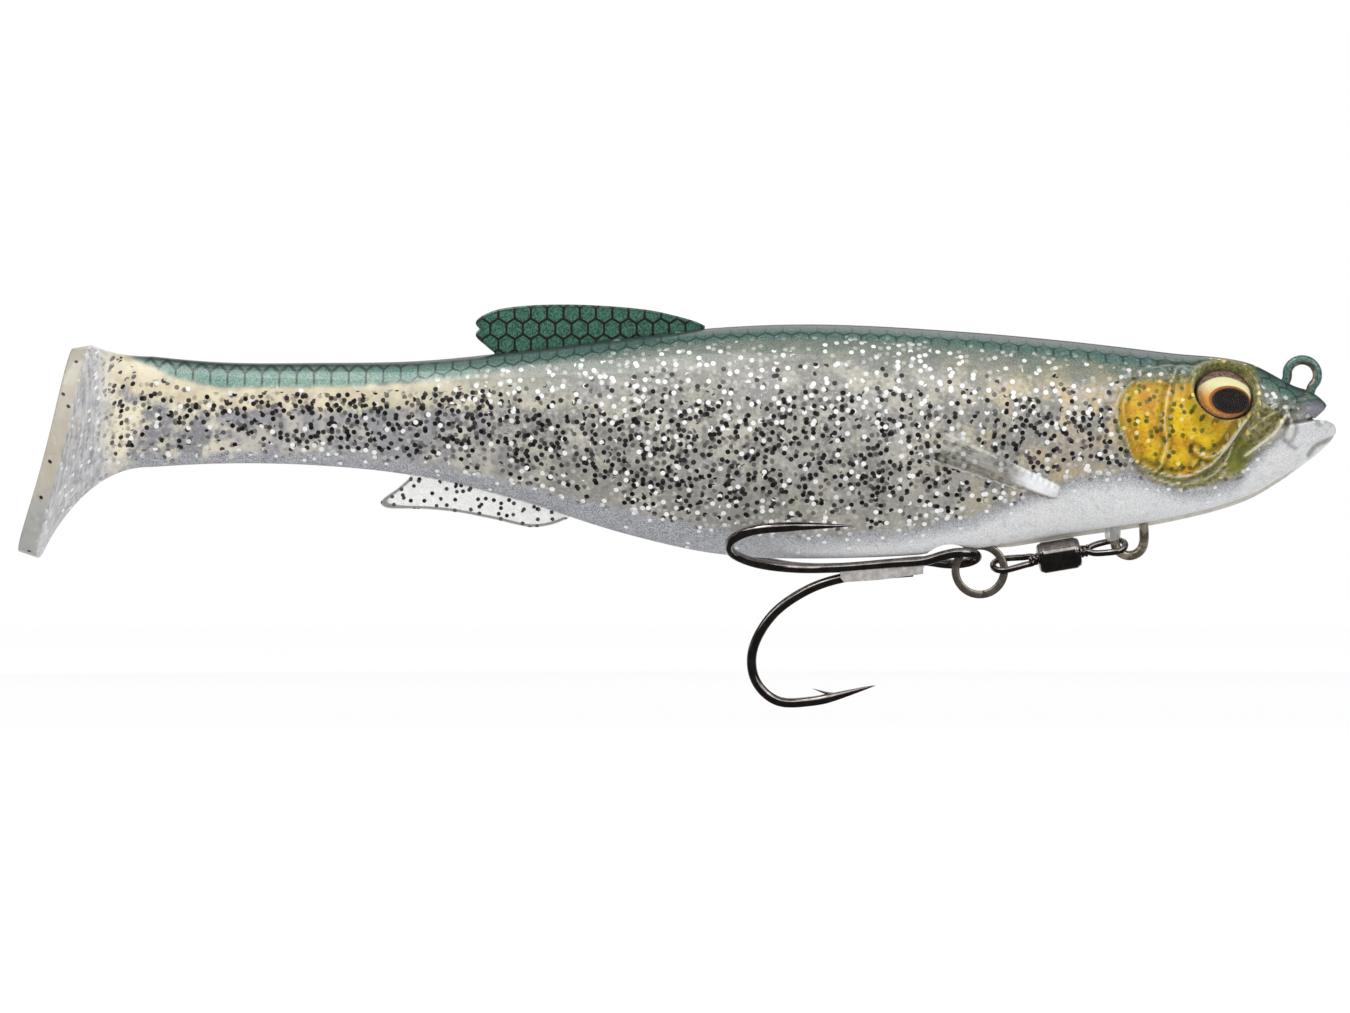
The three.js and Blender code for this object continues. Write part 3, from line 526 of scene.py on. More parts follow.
def side_fin(x, z):
    """Height of the moulded side fin."""
    along, across, half = fin_place(x, z)
    edge = np.abs(across) / half
    ends = smoothstep(-0.03, 0.04, along) * (1 - smoothstep(0.96, 1.02, along))
    plate = (1 - smoothstep(0.86, 1.04, edge)) * ends
    rim = np.exp(-((edge - 0.88) / 0.13) ** 2) * smoothstep(0.0, 0.12, along)
    rays = 0.5 + 0.5 * np.cos(across / half * 14)
    swell = np.exp(-((along - 0.14) / 0.15) ** 2 - (across / 1.2) ** 2)
    return plate * (0.75 + 0.14 * rays * smoothstep(0.25, 0.5, along) + 0.35 * rim) + 0.75 * swell


def face_relief(x, z):
    """How far the gill plates, folds and side fin stand out of the plain body, and where painted highlights
    go on the folds and painted shade beside them, in their creases and in the mouth's gap.
    """
    depth = inside(OPERCULUM + [(-9.0, -6.0), (-16.0, 1.5), (-22.0, 1.5)], x, z)
    out = 0.7 * smoothstep(-0.25, 0.3, depth) * np.exp(-np.clip(depth, 0, None) / 5.0)
    shine = 0.8 * np.exp(-(along_line(catmull(OPERCULUM), x, z)[0] / 0.22) ** 2)
    shade = 0.8 * smoothstep(-1.3, -0.2, depth) * (1 - smoothstep(-0.2, 0.1, depth))
    for height, width, pale, line in FOLDS:
        away, _ = along_line(catmull(line, 6), x, z)
        ridge = np.exp(-(away / width) ** 2)
        trough = np.exp(-((away - 2.0 * width) / (1.1 * width)) ** 2)
        out = out + height * (ridge - 0.55 * trough)
        shade = np.maximum(shade, 2.0 * abs(height) * (trough if height > 0 else ridge))
        shine = np.maximum(shine, pale * np.exp(-(away / (0.55 * width)) ** 2))
    away, _ = along_line(catmull(MOUTH_LINE), x, z)
    gap = np.exp(-(away / 0.3) ** 2)
    shade = np.clip(np.maximum(shade, 1.4 * gap), 0, 1) * (1 - shine)
    return out - 0.75 * gap + side_fin(x, z), shine - shade


def as_seen(points):
    """Side-view x and z of surface points, allowing for the nearness of the flank to the camera."""
    grow = CAMERA["away"] / (CAMERA["away"] - np.abs(points[..., 1]))
    x = CAMERA["x"] + (points[..., 0] - CAMERA["x"]) * grow
    z = CAMERA["z"] + (points[..., 2] - CAMERA["z"]) * grow
    return x, z


def eye_frame(side):
    """Seat and outward direction of an eye."""
    yaw, tilt = math.radians(EYE["yaw"]), math.radians(EYE["tilt"])
    out = np.array([math.sin(yaw), side * math.cos(yaw) * math.cos(tilt), math.sin(tilt)])
    out /= np.linalg.norm(out)
    back, belly = between(BACK, EYE["x"])[0], between(BELLY, EYE["x"])[0]
    middle = belly + WIDEST_AT * (back - belly)
    rise = (EYE["z"] - middle) / (back - middle)
    width = between(WIDTH, EYE["x"])[0] * (1 - rise ** BACK_ROUNDNESS) ** (1 / BACK_ROUNDNESS)
    return np.array([EYE["x"], side * (width + 0.4), EYE["z"]]), out


def ring_angles():
    return (np.arange(GIRTH) + 0.5) * TURN / GIRTH


def plain_rings(xs):
    """Rings of the body without relief: an array of rows, points and coordinates."""
    back, belly, width = (between(c, xs)[:, None] for c in (BACK, BELLY, WIDTH))
    middle = belly + WIDEST_AT * (back - belly)
    up = np.sin(ring_angles())[None, :]
    side = np.cos(ring_angles())[None, :]
    power = np.where(up > 0, 2 / BACK_ROUNDNESS, 2 / BELLY_ROUNDNESS)
    height = np.where(up > 0, back - middle, middle - belly)
    z = middle + height * np.sign(up) * np.abs(up) ** power
    y = width * np.sign(side) * np.abs(side) ** power
    x = np.broadcast_to(np.asarray(xs)[:, None], z.shape)
    return np.stack([x, y, z], axis=2)


def tail_rings():
    """The flare of the peduncle into the paddle: rings to its rim, round the edge and over the rear face."""
    start = plain_rings(np.array([FLARE_START]))[0]
    up, side = np.sin(ring_angles()), np.cos(ring_angles())
    share = (1 - up) / 2
    bulge = 0.9 * np.sin(np.pi * share ** 1.2)
    rim = np.column_stack([
        PADDLE["top"][0] + (PADDLE["foot"][0] - PADDLE["top"][0]) * share + bulge,
        PADDLE["half_width"] * np.sign(side) * np.abs(side) ** 0.8 * (1 - 0.2 * up),
        PADDLE["top"][1] + (PADDLE["foot"][1] - PADDLE["top"][1]) * share,
    ])
    rings = []
    for s in np.linspace(0, 1, 27)[1:]:
        ring = start.copy()
        ring[:, 0] += (rim[:, 0] - start[:, 0]) * s
        ring[:, 2] += (rim[:, 2] - start[:, 2]) * s ** 2.26
        ring[:, 1] += (rim[:, 1] - start[:, 1]) * (0.16 * s ** 2 + 0.84 * s ** 6)
        rings.append(ring)
    deep = np.column_stack([np.full(GIRTH, -2.9), np.zeros(GIRTH), 1.5 * share - 0.5])
    centre = rim.mean(axis=0)
    for t, grow in ((0.12, 1.012), (0.3, 1.02), (0.6, 1.02), (0.85, 1.01), (0.97, 0.99)):
        rings.append(centre + (rim - centre) * [1, grow, 1] + deep * t)
    for shrink in (0.95, 0.9, 0.78, 0.6, 0.4, 0.2, 0.06):
        hollow = 0.35 * (1 - smoothstep(0.8, 1.0, np.array(shrink)))
        rings.append(centre + (rim - centre) * shrink + deep * (1.0 - hollow))
    return np.array(rings)


def cut_slot(body):
    """Hollows the keel where the hook's eye needs room to turn."""
    off = body[..., 0] - SLOT["x"]
    roof = SLOT["z"] + np.sqrt(np.clip(SLOT["radius"] ** 2 - off ** 2, 0, None))
    under = (np.abs(body[..., 1]) < SLOT["half"]) & (np.abs(off) < SLOT["radius"]) & (body[..., 2] < -20)
    body[..., 2] = np.where(under, np.maximum(body[..., 2], roof), body[..., 2])


def skin_grid():
    """Every ring of the skin from the nose to the middle of the paddle's rear face."""
    nose = 5.0 - 12.6 * np.linspace(0, 1, 52) ** 1.7
    xs = np.concatenate([
        nose, np.arange(-7.9, -30.0, -0.3), np.arange(-30.4, -58.2, -0.45), np.arange(-59, FLARE_START, -1.0),
        [FLARE_START],
    ])
    body = plain_rings(xs)
    y = body[..., 1]
    x, z = as_seen(body)
    lift = face_relief(x, z)[0] * smoothstep(0.5, 3.5, np.abs(y)) * (1 - smoothstep(3.0, 4.4, x))
    gradient_up = (z - np.mean(z, axis=1, keepdims=True)) / 14
    normal = np.stack([np.zeros_like(x), np.sign(y), 0.6 * gradient_up], axis=2)
    normal /= np.linalg.norm(normal, axis=2, keepdims=True)
    body = body + normal * lift[..., None]
    keel = smoothstep(-50, -44, body[..., 0]) * (1 - smoothstep(-3, 1, body[..., 0]))
    lowest = np.abs(np.arange(GIRTH) + 0.5 - 0.75 * GIRTH) < 0.6
    body[..., 2] -= 0.45 * keel * lowest[None, :]
    body[..., 1] = np.where(lowest[None, :] & (keel > 0), body[..., 1] * 0.5, body[..., 1])
    cut_slot(body)
    reach = np.interp(body[..., 2], NOTCH_Z, NOTCH_X)
    body[..., 0] = np.minimum(body[..., 0], reach)
    for side in (-1, 1):
        seat, out = eye_frame(side)
        from_seat = body - seat
        deep = from_seat @ out
        away = np.linalg.norm(from_seat - deep[..., None] * out, axis=2)
        mine = (np.sign(body[..., 1]) == side) & (away < 8) & (np.abs(deep) < 6)
        past = away - EYE["radius"]
        pocket = 1 - smoothstep(0.1, 0.45, past)
        rim = 0.62 * np.exp(-((past - 0.95) / 0.45) ** 2)
        groove = -0.3 * np.exp(-((past - 2.1) / 0.5) ** 2)
        level = 1 - smoothstep(0.6, 2.6, past)
        seat_level = deep * (1 - 0.85 * level) + rim + groove
        want = seat_level * (1 - pocket) - POCKET_DEPTH * pocket
        body = np.where(mine[..., None], body + out * (want - deep)[..., None], body)
    tail = tail_rings()
    return np.concatenate([body, tail]), np.concatenate([plain_rings(xs), tail])


def skin_arrays():
    grid, plain = skin_grid()
    # place on the plain skin: distance along the length, distance round from the widest line, and side
    steps = np.linalg.norm(np.diff(plain, axis=0), axis=2)
    run = np.concatenate([np.zeros((1, GIRTH)), np.cumsum(steps, axis=0)])
    turn_row = int(np.argmax(plain[:, 0, 0] <= FLARE_START))
    run = np.where(np.arange(len(plain))[:, None] < turn_row, STATIONS[0, 0] - plain[..., 0],
                   STATIONS[0, 0] - FLARE_START + run - run[turn_row])
    step = np.linalg.norm(np.roll(plain, -1, axis=1) - plain, axis=2)
    quarter, half = GIRTH // 4, GIRTH // 2
    girth = np.zeros(grid.shape[:2])
    right = np.zeros(GIRTH)
    for first, way in ((quarter, 1), (quarter - 1, -1)):
        total = step[:, quarter - 1] / 2
        for k in range(half):
            here = (first + way * k) % GIRTH
            girth[:, here] = total
            total = total + step[:, here if way > 0 else (here - 1) % GIRTH]
            if way > 0:
                right[here] = 1.0
    widest = girth[:, [0]]
    skin = np.stack([run, girth - widest + 70 * right, np.broadcast_to(right, run.shape)], axis=2)
    drop = grid[..., 2].max(axis=1)[:, None] - grid[..., 2]
    zones = paint_zones(plain, drop, girth)
    # smooth normals of the whole grid, so that the pieces meet without a crease
    ahead = np.gradient(grid, axis=0)
    beside = np.roll(grid, -1, axis=1) - np.roll(grid, 1, axis=1)
    normal = np.cross(ahead, beside)
    size = np.linalg.norm(normal, axis=2, keepdims=True)
    normal = normal / np.maximum(size, 1e-9)
    return grid, skin, zones, normal


def paint_zones(plain, drop, girth):
    """Where each colour goes: distances in millimetres inside each zone, positive inside."""
    x, z = as_seen(plain)
    green = np.minimum(on_edge(GREEN_DEPTH, x) - drop, np.where(x > 2.6, z + 5.2, 99))
    pearl = on_edge(PEARL_EDGE, x) - z
    # share of the way from the green edge down to the pearl
    share = np.clip(-green / np.maximum(-green - pearl, 0.5), 0, 1.4)
    rear = 1 - smoothstep(-140, -112, x)
    black = smoothstep(0.08, 0.5 - 0.36 * rear, share) * (1 - 0.75 * smoothstep(0.8, 1.0, share))
    black = black * (1 - 0.35 * smoothstep(-86, -50, x)) * (1 - 0.45 * (1 - smoothstep(-176, -158, x)))
    white = (1 - (0.62 + 0.2 * rear) * smoothstep(0.3 - 0.25 * rear, 0.62 - 0.4 * rear, share)
             + 0.45 * smoothstep(0.8, 0.98, share)) * smoothstep(-0.1, 0.04, share)
    white = white * (1 - 0.85 * smoothstep(0.2, 2.5, pearl)) * (1 - 0.35 * (1 - smoothstep(0.1, 0.35, share)))
    taller = 1 + 1.2 * (1 - smoothstep(-150, -128, x))
    net = (drop + 0.25 * girth) / taller
    _, shine = face_relief(x, z)
    along, across, half = fin_place(x, z)
    fin = np.minimum(1 - np.abs(across) / half, np.minimum(along, 1 - along) * 5)
    fin = fin * (np.abs(plain[..., 1]) > 2)
    return {
        "edges": np.stack([green, pearl, net], axis=2),
        "flakes": np.stack([black, white, share], axis=2),
        "face": np.stack([inside(GOLD, x, z), inside(OLIVE, x, z), inside(DARK_OLIVE, x, z)], axis=2),
        "fin": np.stack([fin, along, across / half], axis=2),
        "shine": np.stack([shine, drop, z - z.min(axis=1, keepdims=True)], axis=2),
    }


def build_skin(material):
    """Three pieces of one skin, cut at PIECE_ENDS; each hides the CAD nodes it stands for."""
    grid, skin, zones, normal = skin_arrays()
    last_row = len(grid) - 1
    middle = grid[:, :, 0].mean(axis=1)
    cuts = [0] + [int(np.argmax(middle < x)) for x in PIECE_ENDS] + [last_row]
    for (name, slot, nodes, bend), first, last in zip(SKIN_PIECES, cuts[:-1], cuts[1:]):
        take = slice(first, last + 1)
        points = grid[take].reshape(-1, 3)
        rim = np.arange(first, last + 1) > last_row - RIM_ROWS
        attributes = [("rim", np.repeat(rim, GIRTH)), ("skin", skin[take].reshape(-1, 3)), ("rest", points)]
        attributes += [(zone, values[take].reshape(-1, 3)) for zone, values in zones.items()]
        faces = tube_faces(last + 1 - first, GIRTH, first == 0, last == last_row)
        piece = make_mesh(name, points, faces, attributes, normal[take].reshape(-1, 3))
        piece.data.materials.append(material)
        before, after, start, end = bend
        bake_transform(piece)
        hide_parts(*nodes)


# ================================ materials ================================

def skin_material():
    r = Recipe("soft_skin")
    band, mix, blend, paint = r.band, r.mix, r.blend, r.paint
    skin = r.attribute("skin")
    rest = r.attribute("rest")
    x, y, z = r.parts(rest)
    green_in, pearl_in, net = r.parts(r.attribute("edges"))
    black, white, share = r.parts(r.attribute("flakes"))
    gold_in, olive_in, dark_in = r.parts(r.attribute("face"))
    fin_in, along, across = r.parts(r.attribute("fin"))
    shine, drop, above_keel = r.parts(r.attribute("shine"))
    rim = r.attribute("rim", "Fac")

    grain = r.noise(rest, 0.2, 1.0, 0.6)
    grit = r.noise(rest, 0.55, 2.0, 0.6)
    mottle = r.noise(rest, 4.0, 4.0, 0.6)
    patch = r.noise(rest, 10.0)
    clump = 0.45 + 0.85 * band(r.noise(rest, 3.0, 1.0), 0.34, 0.62)
    wander = 3.2 * (r.noise(rest, 2.2) - 0.5)  # millimetres by which the zone edges wander
    rear = band(x, -108, -146)
    not_rear = 1 - rear

    # the mottled core, seen through the skin
    cream = mix(rear, blend(x, -62, -34, (190, 186, 172), (212, 190, 146)), (238, 229, 202))
    grey = mix(rear, (150, 149, 142), (142, 142, 147))
    r.color = blend(mottle + 0.5 * (patch - 0.5), 0.4, 0.62, grey, cream)
    paint(0.55 * not_rear * band(patch, 0.5, 0.62), (158, 156, 160))
    paint(0.4 * band(grit, 0.5, 0.72), (226, 223, 214))
    paint(0.4 * band(grit, 0.46, 0.3), (112, 111, 104))
    ragged = share + 0.03 * wander
    lit = rear * band(share, 0, 0.06) * band(ragged, 0.4, 0.3)
    paint(0.75 * lit, mix(mottle, (206, 190, 150), (244, 234, 206)))
    paint(0.6 * rear * band(ragged, 0.34, 0.5) * band(x, -172, -160), (160, 160, 165))
    paint(0.4 * not_rear * band(share, 0.45, 0.9), (132, 130, 122))

    # the green of the back thins out to grey green over the core
    haze_in = green_in + wander * (0.3 + 0.2 * not_rear)
    paint(0.85 * not_rear * band(haze_in, -6.4, -0.2), blend(grain, 0.3, 0.7, (78, 94, 84), (136, 146, 132)))

    # deep, middle and near flakes: cell, radius and soft edge; place and density; shift; colours; strength
    flake = 0.0
    for sizes, density, shift, dark, light, strength in (
        ((1.15, 0.36, 0.16), black * 0.7, (3.1, 7.7), (112, 111, 110), (140, 137, 132), 0.55),
        ((1.2, 0.35, 0.14), white * 0.6, (1.7, 11.3), (196, 196, 190), (226, 224, 216), 0.6),
        ((1.25, 0.38, 0.06), black * 0.62, (8.3, 2.9), (76, 74, 76), (108, 104, 102), 0.85),
        ((1.3, 0.39, 0.04), black * 0.6, (5.9, 17.1), (30, 29, 32), (62, 58, 58), 0.97),
        ((1.6, 0.38, 0.04), white * 0.52, (12.7, 5.3), (228, 228, 226), (255, 255, 253), 0.97),
        ((1.45, 0.38, 0.04), black * 0.6, (21.3, 9.1), (20, 19, 22), (42, 40, 40), 1.0),
        ((1.9, 0.38, 0.04), white * 0.42, (31.7, 15.3), (243, 243, 241), (255, 255, 255), 1.0),
    ):
        flake = r.highest(flake, r.flakes(skin, sizes, density * clump, shift, dark, light, strength))

    # pearl belly with metallic grain, brighter lower on the mid belly and on the jaw where a painted
    # highlight lies over the pearl, and a bright line along the keel
    pearl = band(pearl_in + wander, -0.6, 1.2) * band(x, -186, -178)
    dull = blend(grain, 0.3, 0.7, (132, 133, 140), (206, 208, 214))
    bright = blend(grain, 0.3, 0.7, (218, 220, 224), (255, 255, 255))
    # brighter pearl lower on the mid belly and on the jaw: the pearl's own colour with a painted highlight
    # over it
    bright_pearl_and_highlight = r.highest(band(pearl_in, 0.2, 3.2) * band(x, -100, -60), 0.9 * band(x, -12, -3))
    paint(0.92 * pearl, mix(bright_pearl_and_highlight, dull, bright))
    r.flakes(skin, (1.9, 0.31, 0.06), 0.9 * pearl * white, (41, 3), (246, 247, 248))
    paint(0.7 * band(above_keel, 0.3, 0.12) * band(x, -52, -46) * band(x, 0, -4), (196, 190, 172))

    # the deep green with its net of scales and dark ridge
    front_green = blend(grain, 0.3, 0.7, (44, 82, 76), (100, 142, 130))
    rear_green = blend(grain, 0.3, 0.7, (78, 122, 110), (142, 180, 166))
    deep_green = mix(rear, band(haze_in, -0.9, 0.9), band(haze_in, -0.8, 0.4))
    paint(0.9 * deep_green, mix(rear, front_green, rear_green))
    border = r.hexagons(r.parts(skin)[0], net + 0.5, 2.66)
    paint(0.75 * band(border, 0.095, 0.03) * band(green_in, -0.5, 0.6), (40, 44, 40))
    paint(0.6 * band(drop, 2.4, 0.2) * band(x, -184, -170), (38, 62, 58))
    paint(0.85 * band(drop, 0.95, 0.15) * band(x, -184, -176), (34, 42, 42))

    # grey clear paddle with a cream rear edge
    paddle = band(x, -181.5, -186)
    streaks = r.noise(r.vector(1.6 * x, 1.6 * y, 0.22 * z), 1.0, 3.0)
    clear = blend(streaks, 0.32, 0.68, (164, 164, 168), (214, 214, 217))
    paint(0.85 * paddle, mix(0.3 * band(grit, 0.4, 0.7), clear, (214, 214, 216)))
    r.flakes(skin, (1.9, 0.33, 0.05), 0.35 * paddle, (51, 13), (240, 241, 243))
    strip = blend(z, -16, -21, (188, 180, 163), (166, 168, 164))
    paint(0.9 * rim, mix(0.35 * band(mottle, 0.35, 0.65), strip, (170, 166, 152)))
    r.flakes(skin, (2.6, 0.3, 0.05), 0.3 * rim, (61, 23), (48, 44, 44))

    # the face: olive round the eye and gill, gold cheek with green and gold flakes
    edge = 0.3 * wander
    olive = band(olive_in + edge, -0.7, 0.7)
    paint(0.8 * olive, blend(grit, 0.35, 0.65, (104, 104, 48), (170, 162, 94)))
    gold = band(gold_in + edge, -0.3, 0.5)
    tone = blend(mottle, 0.36, 0.64, (204, 142, 4), (236, 196, 10))
    # painted sheen: pale beige patches laid over the gold at random
    tone = mix(0.5 * band(patch, 0.5, 0.66), tone, (214, 186, 92))
    tone = mix(0.6 * band(grit, 0.46, 0.3), tone, (120, 98, 4))
    tone = mix(0.5 * band(grit, 0.6, 0.75), tone, (250, 226, 110))
    # painted shade: the gold turns dull and dark near the cheek's edge, where the folds round it close in
    tone = mix(0.6 * band(gold_in, 2.8, 0.2) * band(mottle, 0.36, 0.58), tone, (132, 112, 10))
    paint(0.95 * gold, tone)
    paint(0.8 * band(dark_in + edge, -0.5, 0.5), (116, 122, 34))
    for cell, shift in ((1.4, (71, 33)), (1.65, (17, 63))):
        r.flakes(skin, (cell, 0.36, 0.08), 0.4 * gold, shift, (44, 62, 18), (104, 110, 36), 0.85)
    r.flakes(skin, (1.7, 0.32, 0.06), 0.42 * olive, (81, 43), (228, 196, 84), (252, 236, 176), 0.9)
    # painted highlights along the ridges of the folds, and painted shade in their creases and beside them
    # where shine falls below zero
    highlight = band(shine, 0, 1)
    paint(0.75 * highlight, (234, 230, 212))
    paint(0.55 * band(shine, 0, -1), (70, 64, 34))

    # lips: dark violet silver edge over the mouth, and a dark tip
    lip = band(x, -2.4, 0.6) * band(z, -6.9, -6.2) * band(z, -3.6, -4.6)
    paint(0.8 * lip, mix(grain, (66, 60, 72), (164, 160, 172)))
    paint(0.85 * band(x, 2.5, 3.1) * band(z, -5.2, -4.7), (44, 42, 48))

    # the moulded side fin: clear grey blade, darker above, with glinting edges and a white root, silver under
    # a painted highlight
    streak = r.noise(r.vector(5 * along, 4 * across), 1.0, 3.0)
    lower_blade = blend(streak, 0.36, 0.64, (146, 145, 138), (184, 182, 176))
    upper_blade = blend(streak, 0.36, 0.64, (84, 82, 72), (140, 138, 126))
    paint(0.62 * band(fin_in, 0, 0.1), blend(across, 0.15, -0.3, lower_blade, upper_blade))
    off = r.math("ABSOLUTE", across)
    glint = band(off, 0.76, 0.88) * band(off, 1.06, 0.94) * band(fin_in, -0.12, -0.02)
    paint(0.75 * glint * band(along, 0, 0.06) * band(streak, 0.32, 0.55), (214, 214, 206))
    # the white root is silver paint with a painted highlight over it
    root = band(along, 0.46, 0.22) * band(along, -0.03, 0.02) * band(fin_in, -0.06, 0.12)
    paint(0.95 * root * band(across, -0.7, -0.3), mix(grain, (236, 238, 242), (255, 255, 255)))

    relief = 0.5 * r.noise(rest, 1.6) + 0.3 * grit
    return r.finish(Roughness=0.34 + 0.16 * grit - 0.15 * highlight, Metallic=0.15 * pearl + 0.1 * flake,
                    Normal=r.bump(relief, 0.00018, 0.5), Coat_Weight=0.4, Coat_Roughness=0.1, IOR=1.4,
                    Specular_IOR_Level=0.35)


def clear_fin_material():
    """Clear plastic with dark flakes and a dark edge."""
    r = Recipe("fin_clear")
    rest = r.attribute("rest")
    x, _, z = r.parts(rest)
    grit = r.noise(rest, 0.8)
    r.color = r.blend(grit, 0.35, 0.7, (222, 222, 216), (248, 248, 245))
    specks, tone = r.dots(r.vector(x, z), 1.15, 0.32, 0.05, 0.45, (3, 9))
    more, _ = r.dots(r.vector(x, z), 1.7, 0.3, 0.05, 0.4, (13, 19))
    dark = r.highest(specks, more)
    r.paint(dark, r.mix(tone, (26, 25, 28), (84, 80, 80)))
    edge = 0.8 * r.band(r.attribute("rim", "Fac"), 0.62, 0.4)
    r.paint(edge, (96, 94, 92))
    alpha = r.highest(r.highest(0.96 * dark, edge), 0.3 + 0.15 * r.band(grit, 0.3, 0.7))
    return r.finish(Alpha=alpha, Roughness=0.22, Coat_Weight=0.6, Coat_Roughness=0.06)


def green_fin_material():
    """Green plastic with a net of scales and a dark edge."""
    r = Recipe("fin_green")
    rest = r.attribute("rest")
    x, _, z = r.parts(rest)
    grain = r.noise(rest, 0.22, 1.0, 0.6)
    border = r.hexagons(x, 0.9 * z, 2.5)
    r.color = r.blend(grain, 0.3, 0.7, (30, 78, 62), (84, 140, 118))
    r.paint(r.band(border, 0.085, 0.045), (34, 26, 26))
    r.paint(0.6 * r.band(r.attribute("rim", "Fac"), 0.55, 0.35), (52, 62, 58))
    return r.finish(Roughness=0.28 + 0.15 * r.noise(rest, 0.8), Metallic=0.35 * grain,
                    Normal=r.bump(-1 * border, 0.0002, 0.4), Coat_Weight=0.5, Coat_Roughness=0.08)


def metal_material(name, dark, light, rough, metallic=1.0):
    r = Recipe(name)
    r.color = r.blend(r.noise(r.position(), 0.0012, 3.0, 0.6), 0.38, 0.66, dark, light)
    worn = r.band(r.noise(r.position(), 0.00022, 2.0, 0.6), 0.45, 0.75)
    return r.finish(Roughness=rough + 0.25 * rough * worn, Metallic=metallic)


def painted_wire_material():
    """Bright wire, with the fish's green paint outside the body, worn off on the inside of the loop."""
    r = Recipe("painted_harness")
    x, _, z = r.parts(r.position())
    cloud = r.noise(r.position(), 0.0013, 3.0, 0.6)
    fine = r.noise(r.position(), 0.00025, 2.0, 0.6)
    from_middle = r.length(x, z - LINE_TIE["z"] * MM) + 0.0007 * (cloud - 0.5)
    painted = r.band(from_middle, 0.00195, 0.0023) * r.band(x, -0.012, -0.008)
    r.color = r.blend(cloud, 0.4, 0.65, (120, 108, 92), (196, 186, 168))
    r.paint(painted, r.blend(fine, 0.35, 0.65, (52, 88, 82), (118, 156, 146)))
    return r.finish(Metallic=0.6 - 0.4 * painted, Roughness=0.16 + 0.2 * painted,
                    Normal=r.bump(fine, 0.00002, 0.5), Coat_Weight=0.3)


def iris_material():
    """Gold foil, orange below, with a dark rim, a brown line round the pupil and painted shade above, a dull
    brown crescent as under a lid.
    """
    r = Recipe("iris_print")
    place = r.attribute("eye")
    a, b, _ = r.parts(place)
    away = r.length(a, b)
    fine = r.noise(place, 0.5)
    lower = r.band(b + 0.35 * a, 1.4, -2.2)
    r.color = r.mix(lower, (255, 252, 196), (236, 160, 34))
    r.paint(0.75 * lower * r.band(away, 2.9, 3.9), (140, 74, 18))
    r.paint(0.25 * r.band(fine, 0.5, 0.8), (252, 244, 200))
    across = (a - PUPIL["right"]) * (1 / PUPIL["radius"])
    above = (b - PUPIL["up"]) * (1 / (PUPIL["radius"] * PUPIL["squash"]))
    r.paint(r.band(r.length(across, above), 1.11, 1.03), (176, 96, 22))
    # painted shade: a dull brown crescent over the top of the eye, as under a lid
    lid_shade = r.blend(fine, 0.4, 0.7, (112, 84, 74), (158, 130, 116))
    r.paint(r.band(b + 0.11 * a * a, 2.75, 3.05), lid_shade)
    r.paint(r.band(away, 3.95, 4.2), (58, 34, 16))
    return r.finish(Roughness=0.35, Coat_Weight=0.0, Specular_IOR_Level=0.2)


def pupil_material():
    r = Recipe("pupil_gloss")
    r.color = r.mix(r.noise(r.position(), 0.002), (4, 4, 5), (24, 20, 20))
    return r.finish(Roughness=0.4, Specular_IOR_Level=0.1)


def clear_material(name, grain, dark, light, alpha, edge_alpha, edge_width, **sockets):
    """Clear resin or plastic that looks thicker towards its outline."""
    r = Recipe(name)
    r.color = r.mix(r.noise(r.position(), grain), dark, light)
    return r.finish(Alpha=alpha + edge_alpha * r.facing(edge_width), **sockets)


# ================================ fins ================================

def fin_plate(name, foot, edge, thickness, side_round, material, body, node):
    """A thin plate with rounded edges in the fish's side plane; foot is its root line, edge its free edge."""
    line = np.vstack([foot, edge[1:-1]])
    curve = bpy.data.curves.new(name, "CURVE")
    curve.dimensions = "2D"
    curve.fill_mode = "BOTH"
    curve.extrude = (thickness / 2 - side_round) * MM
    curve.bevel_depth = side_round * MM
    curve.bevel_resolution = 3
    spline = curve.splines.new("POLY")
    spline.points.add(len(line) - 1)
    for point, (x, z) in zip(spline.points, line):
        point.co = (x * MM, z * MM, 0, 1)
    spline.use_cyclic_u = True
    holder = bpy.data.objects.new(name, curve)
    bpy.context.collection.objects.link(holder)
    mesh = bpy.data.meshes.new_from_object(holder.evaluated_get(bpy.context.evaluated_depsgraph_get()))
    bpy.data.objects.remove(holder)
    fine = bmesh.new()
    fine.from_mesh(mesh)
    bmesh.ops.triangulate(fine, faces=fine.faces)
    bmesh.ops.subdivide_edges(fine, edges=fine.edges, cuts=7, use_grid_fill=True)
    fine.to_mesh(mesh)
    fine.free()
    flat = np.zeros(len(mesh.vertices) * 3)
    mesh.vertices.foreach_get("co", flat)
    flat = flat.reshape(-1, 3) / MM
    points = np.column_stack([flat[:, 0], -flat[:, 2], flat[:, 1]])
    away, _ = along_line(np.vstack([line, line[:1]]), points[:, 0], points[:, 2])
    from_root, _ = along_line(foot, points[:, 0], points[:, 2])
    rim = np.clip(np.where(from_root < 0.8, 1.0, away + side_round), 0, 1.4)
    faces = [list(p.vertices) for p in mesh.polygons]
    fin = weld(make_mesh(name, points, faces, [("rest", points), ("rim", rim)], smooth=False))
    place_piece(fin, material, body, node, node)


def place_piece(piece, material, body, slot, *nodes):
    """Gives a piece its material and body; it stands for the nodes, which are hidden. Its slot is not used.
    """
    piece.data.materials.append(material)
    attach(piece, body)
    if nodes:
        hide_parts(*nodes)


